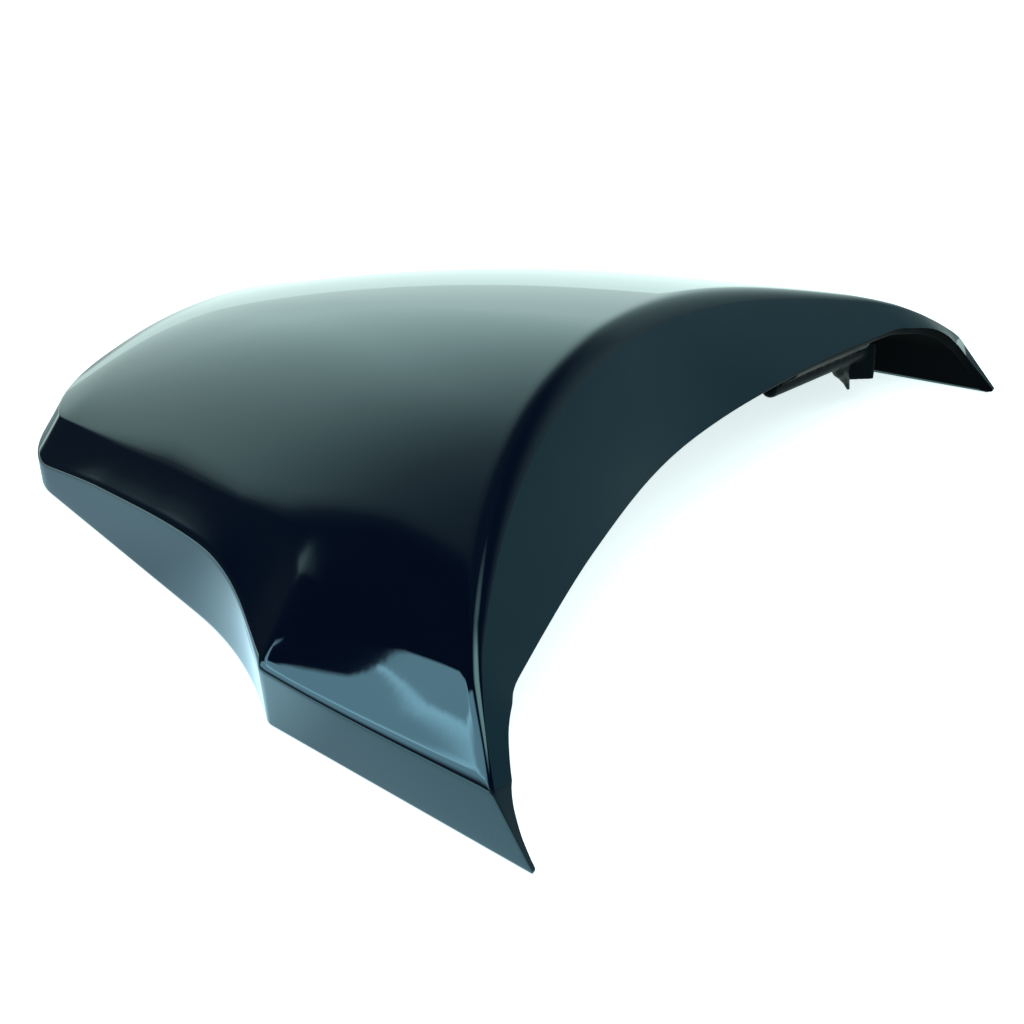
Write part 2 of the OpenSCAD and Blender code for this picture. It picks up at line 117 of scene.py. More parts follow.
@dataclass(frozen=True)
class CowlForm:
    """Driving sizes of the shell in millimetres, and the surface that they give.

    A place on the surface has a station s along the shell, 0 at the front, 1 at the wing's rear corner, 2 at
    the end of the concave sweep, 3 at the end of the flank and 4 at the tail, and a place v up the section,
    0 at the foot, 1 at the fold line, 2 at the shoulder crease and 3 on the ridge. y starts at the wing tips.
    """

    # The foot: straight wing, concave sweep, straight flank and rounded tail
    body_len: float = 220.0
    tip_half: float = 132.0
    wing_half: float = 117.5
    wing_len: float = 83.0
    waist_half: float = 105.0
    tail_half: float = 55.0
    sweep_len: float = 45.0
    sweep_power: float = 2.2
    tail_round: float = 22.0
    round_power: float = 2.4

    # The fold line above the skirt
    fold_tip_h: float = 16.0
    fold_rear_h: float = 17.5
    fold_tip_lean: float = 0.78
    fold_corner_back: float = 1.0
    fold_stand: tuple[float, float, float, float] = (-0.8, 2.2, 0.6, 0.8)
    fold_stand_sweep: float = 0.6
    skirt_h: float = 23.5
    skirt_tail_h: float = 9.5
    skirt_peak: float = 0.78
    skirt_middle: tuple[float, float] = (0.62, 0.52)
    tail_dip: float = 5.0

    # The shoulder crease and the band below it
    shoulder_h: float = 33.0
    shoulder_tail_h: float = 16.5
    shoulder_back: float = 31.0
    shoulder_half: float = 107.0
    shoulder_tail_half: float = 53.0
    shoulder_bow: float = 0.2
    shoulder_flat: float = 60.0
    shoulder_power: float = 1.5
    shoulder_corner_back: float = 5.0
    tail_inset: float = 2.8
    tail_tighten: float = 0.9
    crease_power: float = 2.7
    band_bulge: float = 2.0
    flank_bulge: float = -0.1
    wing_ease: tuple[float, float] = (0.9, 0.4)

    # The crowned top
    crest_h: float = 59.95
    crest_back: float = 59.0
    ridge_over: float = 2.0
    ridge_lift: tuple[float, float] = (-1.3, 1.6)
    ridge_powers: tuple[float, float] = (1.75, 0.72)
    crown_powers: tuple[float, float] = (2.6, 1.8)

    # The fascia's lip: its inset from the tips, and how far it is before and below its middle, by place v
    lip_h: float = 31.0
    lip_back: float = 37.5
    lip_half: float = 101.0
    lip_share: float = 0.51
    lip_inset: tuple[tuple[float, float], ...] = ((1.25, 11.0), (1.5, 15.4), (1.75, 21.8))
    lip_ahead: tuple[tuple[float, float], ...] = (
        (1.25, 24.4), (1.5, 21.4), (2, 14.8), (2.5, 5.8), (3, 0.0), (3.5, 5.8)
    )
    lip_below: tuple[tuple[float, float], ...] = (
        (1.25, 11.4), (1.5, 8.3), (2, 4.4), (2.5, 0.0), (3, -0.2), (3.5, 0.0)
    )
    crest_round: float = 0.16
    rim_lean: float = 0.6
    rim_taper: float = 0.45
    toe_from: float = 0.3
    toe: tuple[float, float] = (3.0, 2.3)

    # The wall, and how far each rounding reaches before and behind its edge, in v, the corner's in s
    wall: float = 2.6
    fold_round: tuple[float, float] = (0.07, 0.09)
    shoulder_round: tuple[float, float] = (0.25, 0.06)
    crease_round: tuple[float, float] = (0.05, 0.025)
    inner_round: tuple[float, float] = (0.3, 0.2)
    corner_round: tuple[float, float] = (0.014, 0.026)

    @property
    def shoulder_len(self) -> float:
        """Distance from the wing tips to the end of the shoulder crease."""
        return self.body_len - self.tail_inset

    @property
    def flank_end(self) -> float:
        """Place where the straight flanks turn into the tail."""
        return self.body_len - self.tail_round

    @property
    def shoulder_end(self) -> float:
        """Place where the shoulder creases turn into the tail."""
        return self.shoulder_len - self.tail_round * self.tail_tighten

    @staticmethod
    def mix(a: np.ndarray, b: np.ndarray, f: np.ndarray) -> np.ndarray:
        """Blends from a at 0 to b at 1."""
        return a + (b - a) * f

    @staticmethod
    def ease(f: np.ndarray) -> np.ndarray:
        """Eases from 0 to 1 with level ends."""
        return f**2 * (3 - 2 * f)

    @staticmethod
    def unit(v: np.ndarray) -> np.ndarray:
        """Scales vectors to length one."""
        return v / np.maximum(np.linalg.norm(v, axis=-1, keepdims=True), 1e-12)

    @staticmethod
    def rail(stations: list[tuple[float, float]], x: np.ndarray) -> np.ndarray:
        """Follows a smooth curve through stations.

        Args:
            stations: Place and value pairs in order of place.
            x: Places to read the curve at.

        Returns:
            The curve's values.
        """
        place, value = np.array(stations, float).T
        tangent = np.zeros_like(value)
        tangent[1:-1] = (value[2:] - value[:-2]) / (place[2:] - place[:-2])
        tangent[0] = (value[1] - value[0]) / (place[1] - place[0])
        tangent[-1] = (value[-1] - value[-2]) / (place[-1] - place[-2])
        i = np.clip(np.searchsorted(place, x, side="left") - 1, 0, len(place) - 2)
        run = place[i + 1] - place[i]
        f = (x - place[i]) / run
        rising = value[i] * (2 * f**3 - 3 * f**2 + 1) + value[i + 1] * (3 * f**2 - 2 * f**3)
        return rising + run * (tangent[i] * (f**3 - 2 * f**2 + f) + tangent[i + 1] * (f**3 - f**2))

    def skirt_half(self, y: np.ndarray) -> np.ndarray:
        """Half width of the foot: straight wing, concave sweep, straight flank.

        Args:
            y: Distances from the wing tips.

        Returns:
            The half widths there.
        """
        behind = y - self.wing_len
        wing = self.mix(self.tip_half, self.wing_half, y / self.wing_len)
        flank = self.mix(self.waist_half, self.tail_half, behind / (self.body_len - self.wing_len))
        left = np.clip(1 - behind / self.sweep_len, 0, 1)
        sweep = (self.wing_half - self.waist_half) * left**self.sweep_power
        return np.where(y < self.wing_len, wing, flank + sweep)

    def fold_out(self, y: np.ndarray) -> np.ndarray:
        """How far the fold line stands out past the foot.

        Args:
            y: Distances from the wing tips.

        Returns:
            The overhang there.
        """
        reach = self.wing_len + self.sweep_len * self.fold_stand_sweep
        places = (0.0, self.wing_len, reach, self.body_len)
        return self.rail(list(zip(places, self.fold_stand)), y)

    def fold_height(self, y: np.ndarray) -> np.ndarray:
        """Height of the fold line above the foot.

        Args:
            y: Distances from the wing tips.

        Returns:
            The heights there.
        """
        place, share = self.skirt_middle
        stations = [
            (0, self.fold_tip_h),
            (self.wing_len, self.fold_rear_h),
            (self.wing_len + self.sweep_len * self.skirt_peak, self.skirt_h),
            (self.mix(self.wing_len, self.body_len, place), self.mix(self.skirt_tail_h, self.skirt_h, share)),
            (self.flank_end, self.skirt_tail_h),
        ]
        return self.rail(stations, y)

    def shoulder_width(self, y: np.ndarray) -> np.ndarray:
        """Half width between the shoulder creases."""
        f = (y - self.shoulder_back) / (self.shoulder_end - self.shoulder_back)
        return self.mix(self.shoulder_half, self.shoulder_tail_half, f) + 4 * self.shoulder_bow * f * (1 - f)

    def shoulder_height(self, y: np.ndarray) -> np.ndarray:
        """Height of the shoulder creases."""
        f = np.clip((y - self.shoulder_flat) / (self.shoulder_len - self.shoulder_flat), 0, 1)
        return self.mix(self.shoulder_h, self.shoulder_tail_h, self.ease(f**self.shoulder_power))

    def ridge_height(self, y: np.ndarray) -> np.ndarray:
        """Height of the top along the middle.

        Args:
            y: Distances from the wing tips.

        Returns:
            The heights there.
        """
        run = self.shoulder_len + self.ridge_over - self.shoulder_back
        f = np.clip((y - self.shoulder_back) / run, 0, 1)
        low, high = self.shoulder_tail_h + self.ridge_lift[0], self.crest_h + self.ridge_lift[1]
        return self.mix(low, high, (1 - f ** self.ridge_powers[0]) ** self.ridge_powers[1])

    def along(self, s: np.ndarray, front: float, corner: float, sweep: float, end: float) -> np.ndarray:
        """Distance from the wing tips, up to the end of the flank.

        Args:
            s: Stations along the shell.
            front: Distance at station 0.
            corner: Distance at station 1, the wing's rear corner.
            sweep: Distance at station 2, the end of the sweep.
            end: Distance at station 3 and behind it.

        Returns:
            The distances at the stations.
        """
        s = np.minimum(s, 3)
        rear = np.where(s < 2, self.mix(corner, sweep, s - 1), self.mix(sweep, end, s - 2))
        return np.where(s < 1, self.mix(front, corner, s), rear)

    @staticmethod
    def tail_turn(s: np.ndarray) -> np.ndarray:
        """Angle turned round the tail's corner at station s, in radians."""
        return np.radians(90 * np.clip(s - 3, 0, 1))

    def tail_x(self, s: np.ndarray, power: float | None = None) -> np.ndarray:
        """Share of the width left at station s round the tail, the corner squarer for a higher power."""
        return np.abs(np.cos(self.tail_turn(s))) ** (2 / (power or self.round_power))

    def tail_y(self, s: np.ndarray, power: float | None = None) -> np.ndarray:
        """Share of the tail's depth reached at station s, the corner squarer for a higher power."""
        return np.abs(np.sin(self.tail_turn(s))) ** (2 / (power or self.round_power))

    def foot(self, s: np.ndarray) -> np.ndarray:
        """Points of the foot, on the floor.

        Args:
            s: Stations along the shell.

        Returns:
            The points there.
        """
        y = self.along(s, 0, self.wing_len, self.wing_len + self.sweep_len, self.flank_end)
        back = y + self.tail_y(s) * (self.body_len - self.flank_end)
        return np.stack([self.skirt_half(back) * self.tail_x(s), back, 0 * y], -1)

    def fold(self, s: np.ndarray) -> np.ndarray:
        """Points of the fold line above the skirt.

        Args:
            s: Stations along the shell.

        Returns:
            The points there.
        """
        front, corner = self.fold_tip_h * self.fold_tip_lean, self.wing_len - self.fold_corner_back
        y = self.along(s, front, corner, self.wing_len + self.sweep_len, self.flank_end)
        back = y + self.tail_y(s) * (self.body_len - self.flank_end)
        half = (self.skirt_half(back) + self.fold_out(back)) * self.tail_x(s)
        dip = self.tail_dip * self.tail_y(s) * (1 - self.tail_y(s)) ** 2
        return np.stack([half, back, self.fold_height(y) - dip], -1)

    def shoulder_y(self, s: np.ndarray) -> np.ndarray:
        """Distance of the shoulder crease from the wing tips.

        Args:
            s: Stations along the shell.

        Returns:
            The distances there.
        """
        corner, sweep = self.wing_len + self.shoulder_corner_back, self.wing_len + self.sweep_len
        y = self.along(s, self.shoulder_back, corner, sweep, self.shoulder_end)
        return y + self.tail_y(s, self.crease_power) * (self.shoulder_len - self.shoulder_end)

    def shoulder_z(self, s: np.ndarray) -> np.ndarray:
        """Height of the shoulder crease at station s, easing to the ridge round the tail."""
        side = self.shoulder_height(self.shoulder_y(s))
        return self.mix(self.ridge_height(np.asarray(self.shoulder_len)), side, np.cos(self.tail_turn(s)))

    def shoulder(self, s: np.ndarray) -> np.ndarray:
        """Points of the shoulder crease at station s."""
        y = self.shoulder_y(s)
        half = self.shoulder_width(y) * self.tail_x(s, self.crease_power)
        return np.stack([half, y, self.shoulder_z(s)], -1)

    def behind_wing(self, s: np.ndarray) -> np.ndarray:
        """Eases from 0 on the wing to 1 behind it."""
        start, run = self.wing_ease
        return self.ease(np.clip((s - start) / run, 0, 1))

    def top(self, s: np.ndarray, t: np.ndarray) -> np.ndarray:
        """Points of the crowned top.

        Args:
            s: Stations along the shell.
            t: Places across it, 1 on the shoulder and 0 on the ridge.

        Returns:
            The points there.
        """
        arch = (self.crest_back - self.shoulder_back) * np.clip(1 - s / 3, 0, 1)
        y = self.shoulder_y(s) + arch * (1 - t ** self.crown_powers[0])
        x = t * self.shoulder_width(y) * self.tail_x(s, self.crease_power)
        edge = np.where(s <= 3, self.shoulder_height(y), self.shoulder_z(s))
        return np.stack([x, y, self.mix(self.ridge_height(y), edge, t ** self.crown_powers[1])], -1)

    def panel(self, s: np.ndarray, v: np.ndarray) -> np.ndarray:
        """Points of the outer face with every crease left sharp.

        Args:
            s: Stations along the shell.
            v: Places up the section.

        Returns:
            The points there.
        """
        s, v = np.broadcast_arrays(np.asarray(s, float), np.asarray(v, float))
        foot, fold, shoulder = self.foot(s), self.fold(s), self.shoulder(s)
        w = v[..., None]
        fade = self.mix(1.0, self.flank_bulge, self.behind_wing(s))
        bulge = self.band_bulge * fade * (v - 1) * (2 - v) * 2 * self.tail_x(s)
        band = self.mix(fold, shoulder, w - 1) + np.array([1.0, 0, 1.0]) * bulge[..., None]
        upper = np.where(w <= 2, band, self.top(s, np.clip(3 - v, 0, 1)))
        return np.where(w <= 1, self.mix(foot, fold, w), upper)

    def creased(self, s: np.ndarray, v: np.ndarray) -> np.ndarray:
        """Points of the outer face with the fold line and the shoulder rounded.

        Args:
            s: Stations along the shell.
            v: Places up the section.

        Returns:
            The points there.
        """
        p = self.panel(s, v)
        behind = self.behind_wing(s)
        turns = [self.mix(a, b, behind) for a, b in zip(self.shoulder_round, self.crease_round)]
        for at, (before, after) in ((1, self.fold_round), (2, turns)):
            f = ((v - at + before) / (before + after))[..., None]
            turn = self.panel(s, at - before) * (1 - f) ** 2 + self.panel(s, at) * 2 * f * (1 - f)
            turn = turn + self.panel(s, at + after) * f**2
            p = np.where((f > 0) & (f < 1), turn, p)
        return p

    def skin(self, s: np.ndarray, v: np.ndarray) -> np.ndarray:
        """Points of the outer face with every crease and the wing's rear corner rounded.

        Args:
            s: Stations along the shell.
            v: Places up the section.

        Returns:
            Points in millimetres, y from the wing tips, on the +X half.
        """
        s, v = np.broadcast_arrays(np.asarray(s, float), np.asarray(v, float))
        before, after = self.corner_round
        f = ((s - 1 + before) / (before + after))[..., None]
        ends = [self.creased(np.full_like(s, q), v) for q in (1 - before, 1, 1 + after)]
        turn = ends[0] * (1 - f) ** 2 + ends[1] * 2 * f * (1 - f) + ends[2] * f**2
        return np.where((f > 0) & (f < 1), turn, self.creased(s, v))

    def inward(self, s: np.ndarray, v: np.ndarray, step: float = 0.02) -> np.ndarray:
        """Unit vectors from the outer face into the wall.

        Args:
            s: Stations along the shell.
            v: Places up the section.
            step: How far apart the slopes are read, in s and v.

        Returns:
            The vectors, level at the foot and in the middle plane on the ridge.
        """
        s, v = np.broadcast_arrays(np.asarray(s, float), np.asarray(v, float))
        sc = np.clip(s, step, 4 - 2 * step)
        vc = np.clip(v, step, 3 - step)
        across = self.skin(sc + step, vc) - self.skin(sc - step, vc)
        up = self.skin(sc, vc + step) - self.skin(sc, vc - step)
        n = self.unit(np.cross(up, across))
        middle = (v >= 3 - step) | (s >= 4 - step)
        n = np.where(middle[..., None], self.unit(n * np.array([0, 1, 1.0])), n)
        return np.where((v <= 0)[..., None], self.unit(n * np.array([1, 1, 0.0])), n)

    def turning(self, v: np.ndarray) -> tuple[np.ndarray, np.ndarray]:
        """Where the inner face turns the fold line, and how far round it is there.

        Args:
            v: Places up the section.

        Returns:
            Whether each place is in the turn, and its share of the turn.
        """
        before, after = self.inner_round
        f = ((v - 1 + before) / (before + after))[..., None]
        return (f > 0) & (f < 1), f

    def wall_way(self, s: np.ndarray, v: np.ndarray) -> np.ndarray:
        """Vectors from the outer face to the inner face, for a wall one millimetre thick.

        Args:
            s: Stations along the shell.
            v: Places up the section.

        Returns:
            The vectors there.
        """
        before, after = self.inner_round
        near, f = self.turning(v)
        a, b = self.inward(s, np.full_like(v, 1 - before)), self.inward(s, np.full_like(v, 1 + after))
        m = (a + b) / (1 + (a * b).sum(-1, keepdims=True))
        return np.where(near, a * (1 - f) ** 2 + m * 2 * f * (1 - f) + b * f**2, self.inward(s, v))

    def wall_skin(self, s: np.ndarray, v: np.ndarray) -> np.ndarray:
        """Points that the inner face is offset from.

        Args:
            s: Stations along the shell.
            v: Places up the section.

        Returns:
            The points there.
        """
        before, after = self.inner_round
        near, f = self.turning(v)
        turn = self.panel(s, 1 - before) * (1 - f) ** 2 + self.panel(s, 1) * 2 * f * (1 - f)
        return np.where(near, turn + self.panel(s, 1 + after) * f**2, self.skin(s, v))

    def lip(self, v: np.ndarray) -> np.ndarray:
        """Points of the fascia's lower lip.

        Args:
            v: Places of the crest above them.

        Returns:
            The points there.
        """
        front = self.skin(np.zeros_like(v), v)
        rise = (np.maximum(0, v - self.toe_from) / (1 - self.toe_from)) ** 2
        rim_wall = self.wall * np.minimum(1, self.rim_taper + v)
        lean = self.toe[1] * rise - self.rim_lean * v
        rim = front - np.stack([rim_wall + self.toe[0] * rise, lean, 0 * v], -1)
        top = self.skin(np.zeros(1), np.ones(1))[0]
        top = top - np.array([self.wall + self.toe[0], self.toe[1] - self.rim_lean, 0])
        half = self.lip_half * self.lip_share
        wide = [(1, top[0])] + [(place, self.tip_half - inset) for place, inset in self.lip_inset]
        wide += [(2, self.lip_half), (2.5, half), (3, 0), (3.5, -half)]
        deep = [(1, top[1])] + [(place, self.lip_back - ahead) for place, ahead in self.lip_ahead]
        high = [(1, top[2])] + [(place, self.lip_h - below) for place, below in self.lip_below]
        level = np.stack([self.rail(stations, v) for stations in (wide, deep, high)], -1)
        return np.where((v <= 1)[..., None], rim, level)

    def fascia_in(self, v: np.ndarray, step: float = 0.02) -> np.ndarray:
        """Unit vectors from the fascia into its wall.

        Args:
            v: Places of the crest.
            step: How far apart the slopes are read, in v.

        Returns:
            The vectors there.
        """
        vc = np.clip(v, step, 3 - step)
        zero = np.zeros_like(v)
        rise = self.lip(vc) - self.skin(zero, vc)
        run = self.lip(vc + step) - self.lip(vc - step)
        run = run + self.skin(zero, vc + step) - self.skin(zero, vc - step)
        n = self.unit(np.cross(rise, run))
        n = np.where(n[..., 1:2] < 0, -n, n)
        n = np.where((v >= 3)[..., None], self.unit(n * np.array([0, 1, 1.0])), n)
        return np.where((v <= 0)[..., None], np.array([0, 1.0, 0]), n)


@dataclass
class QuadSheets:
    """Quads gathered from grids of points, each grid on both halves of the shell."""

    points: list[np.ndarray] = field(default_factory=list)
    faces: list[tuple[int, ...]] = field(default_factory=list)
    slots: list[int] = field(default_factory=list)

    def add(self, grid: np.ndarray, turned: bool, slot_at: Callable[[int, int], Face]) -> None:
        """Adds one grid.

        Args:
            grid: Points of the +X half, row by row.
            turned: Whether the quads face the other way.
            slot_at: Gives the material slot for a row and a column.
        """
        rows, cols = grid.shape[:2]
        for side in Side:
            base = sum(len(half) for half in self.points)
            self.points.append(grid.reshape(-1, 3) * np.array([side.value, 1, 1]))
            for r in range(rows - 1):
                for c in range(cols - 1):
                    a = base + r * cols + c
                    quad = (a, a + 1, a + cols + 1, a + cols)
                    self.faces.append(quad[::-1] if (side is Side.RIGHT) == turned else quad)
                    self.slots.append(slot_at(r, c).value)


@dataclass
class CowlShell:
    """The moulded shell, built as one closed skin with a rounded rim.

    The rows and columns set how fine the mesh is. The rim's profiles are shares of its radius.
    """

    form: CowlForm = field(default_factory=CowlForm)
    wing_rows: int = 30
    corner_rows: int = 7
    sweep_rows: int = 26
    flank_rows: int = 20
    tail_rows: int = 34
    fascia_rows: int = 10
    crest_rows: int = 8
    skirt_marks: tuple[float, float] = (0.04, 0.7)
    band_mark: float = 1.3
    crown_columns: int = 30
    crest_reach: tuple[float, float] = (0.015, 0.09)
    crest_ease: float = 1.2
    crest_step: float = 0.03
    least_inner: float = 0.1
    rim_round: float = 0.5
    rim_lift: float = 0.7
    foot_profile: tuple[tuple[float, float], ...] = ((0.1, 0.45), (0.35, 0.1), (1.0, 0.0))
    lip_profile: tuple[tuple[float, float], ...] = (
        (0.0, 0.0), (0.06, 0.45), (0.2, 0.85), (0.4, 1.0), (0.6, 1.0), (0.8, 0.85), (0.94, 0.45), (1.0, 0.0)
    )
    lip_bulge: float = 0.4
    weld_mm: float = 0.002
    sharp_angle: float = 40.0

    def columns(self) -> np.ndarray:
        """Places up the section, close together where the skin turns.

        Returns:
            The places, from above the foot to the ridge.
        """
        form = self.form
        start, skirt = self.skirt_marks
        fold_low, fold_high = 1 - form.fold_round[0], 1 + form.fold_round[1]
        soft_low, soft_high = 2 - form.shoulder_round[0], 2 + form.shoulder_round[1]
        crease_low, crease_high = 2 - form.crease_round[0], 2 + form.crease_round[1]
        marks = [(start, skirt, 6), (skirt, fold_low, 4), (fold_low, fold_high, 9)]
        marks += [(fold_high, self.band_mark, 4), (self.band_mark, soft_low, 7)]
        marks += [(soft_low, crease_low, 7), (crease_low, crease_high, 7)]
        marks += [(crease_high, soft_high, 2), (soft_high, 3, self.crown_columns)]
        return np.concatenate([np.linspace(a, b, n, endpoint=False) for a, b, n in marks] + [np.array([3.0])])

    def stations(self) -> np.ndarray:
        """Stations behind the crest, with extra ones round the wing's rear corner and the tail.

        Returns:
            The stations, from the wing to the tail.
        """
        before, after = self.form.corner_round
        wing = np.linspace(0, 1 - before, self.wing_rows)[1:]
        corner = np.linspace(1 - before, 1 + after, self.corner_rows)[1:-1]
        sweep = np.linspace(1 + after, 2, self.sweep_rows)
        flank = np.linspace(2, 3, self.flank_rows)[1:]
        tail = 3 + np.linspace(0, 1, self.tail_rows)[1:]
        return np.concatenate([wing, corner, sweep, flank, tail])

    def outer_grid(self) -> np.ndarray:
        """Points of the fascia, the crest and the outer face.

        Returns:
            A grid of points in millimetres, row by row from the lip, the fascia's rows first.
        """
        form, v = self.form, self.columns()
        zero = np.zeros_like(v)
        start = form.mix(*self.crest_reach, np.clip((v - 1) / self.crest_ease, 0, 1))
        lip, edge, behind = form.lip(v), form.skin(zero, v), form.skin(start, v)
        below = form.mix(edge, lip, form.crest_round)
        rows = [form.mix(lip, below, k / self.fascia_rows) for k in range(self.fascia_rows)]
        for k in range(self.crest_rows):
            f = k / self.crest_rows
            rows.append(below * (1 - f) ** 2 + edge * 2 * f * (1 - f) + behind * f**2)
        s = np.concatenate([[0.0], self.stations()])[:, None]
        rest = form.skin(s + start * np.maximum(0, 1 - s), np.broadcast_to(v, (len(s), len(v))))
        grid = np.concatenate([np.stack(rows), rest])
        grid[:, -1, 0] = 0
        return grid

    def inner_grid(self) -> np.ndarray:
        """Points of the inner face.

        Returns:
            A grid of points in millimetres, row by row from the back of the lip.
        """
        form, v = self.form, self.columns()
        zero = np.zeros_like(v)
        lip, edge = form.lip(v), form.skin(zero, v)
        n1, n2 = form.unit(form.wall_way(zero + self.crest_step, v)), form.fascia_in(v)
        rise = form.unit(edge - lip)
        corner = form.wall_skin(zero, v) + form.wall * (n1 + n2) / (1 + (n1 * n2).sum(-1, keepdims=True))
        height = np.linalg.norm(edge - lip, axis=-1)
        left = np.maximum(((corner - lip) * rise).sum(-1), height * self.least_inner)
        total = self.fascia_rows + self.crest_rows
        rows = [corner - rise * (left * (1 - k / total))[:, None] for k in range(total + 1)]
        s, places = np.meshgrid(self.stations(), v, indexing="ij")
        roof = form.wall_skin(s, places) + form.wall * form.wall_way(s, places)
        grid = np.concatenate([np.stack(rows), roof])
        grid[..., 2] = np.maximum(grid[..., 2], self.rim_round * self.rim_lift)
        grid[-1, :, 0] = 0
        grid[:, -1, 0] = 0
        return grid

    def build(self) -> bpy.types.Object:
        """Builds the shell's mesh.

        Returns:
            The object, in metres in the part's frame.
        """
        outer, inner = self.outer_grid(), self.inner_grid()
        rim_columns = int((self.columns() < 1).sum())
        sheets = QuadSheets()
        sheets.add(
            outer, False, lambda r, c: Face.SATIN if r < self.fascia_rows and c >= rim_columns else Face.GLOSS
        )
        sheets.add(inner, True, lambda r, c: Face.INSIDE)
        sheets.add(self.foot_rim(outer, inner), True, lambda r, c: Face.GLOSS)
        sheets.add(self.lip_rim(outer, inner), False, lambda r, c: Face.INSIDE)
        points = np.concatenate(sheets.points) - np.array([0, self.form.body_len / 2, 0])
        mesh = bpy.data.meshes.new("cowl_shell")
        mesh.from_pydata((points * MM).tolist(), [], sheets.faces)
        mesh.polygons.foreach_set("material_index", sheets.slots)
        mesh.update()
        shell = bpy.data.objects.new("cowl_shell", mesh)
        bpy.context.scene.collection.objects.link(shell)
        self.weld(mesh)
        return shell

    def foot_rim(self, outer: np.ndarray, inner: np.ndarray) -> np.ndarray:
        """Rounded bottom edge between the outer and inner faces.

        Args:
            outer: Grid of the outer face.
            inner: Grid of the inner face.

        Returns:
            A grid of points, one row a station.
        """
        a, b = outer[:, 0], inner[:, 0]
        across = self.form.unit((b - a) * np.array([1, 1, 0.0]))
        r = self.rim_round
        low_a, low_b = a * np.array([1, 1, 0.0]), b * np.array([1, 1, 0.0])
        steps = [low_a + across * r * away + [0, 0, r * up] for away, up in self.foot_profile]
        steps += [low_b - across * r * away + [0, 0, r * up] for away, up in reversed(self.foot_profile)]
        return np.stack([a, *steps, b], axis=1)

    def lip_rim(self, outer: np.ndarray, inner: np.ndarray) -> np.ndarray:
        """Rounded lower lip between the fascia and the inner face.

        Args:
            outer: Grid of the outer face.
            inner: Grid of the inner face.

        Returns:
            A grid of points, one column a place up the section.
        """
        a, b = outer[0], inner[0]
        out = self.form.unit(outer[0] - outer[1]) * self.rim_round * self.lip_bulge
        return np.stack([self.form.mix(a, b, f) + out * up for f, up in self.lip_profile])

    def weld(self, mesh: bpy.types.Mesh) -> None:
        """Joins the two halves and the rims, and smooths the faces up to the real edges.

        Args:
            mesh: The shell's mesh.
        """
        work = bmesh.new()
        work.from_mesh(mesh)
        bmesh.ops.remove_doubles(work, verts=work.verts, dist=self.weld_mm * MM)
        bmesh.ops.recalc_face_normals(work, faces=work.faces)
        work.to_mesh(mesh)
        work.free()
        mesh.polygons.foreach_set("use_smooth", [True] * len(mesh.polygons))
        mesh.set_sharp_from_angle(angle=math.radians(self.sharp_angle))

    def dress(self, shell: bpy.types.Object) -> None:
        """Gives the shell its finishes, in the order of Face."""
        # The inside finish is raw black ABS, darkened further as painted shade under the shell
        for finish in (GLOSS, SATIN, RAW_BLACK_AND_SHADE):
            shell.data.materials.append(finish.material())


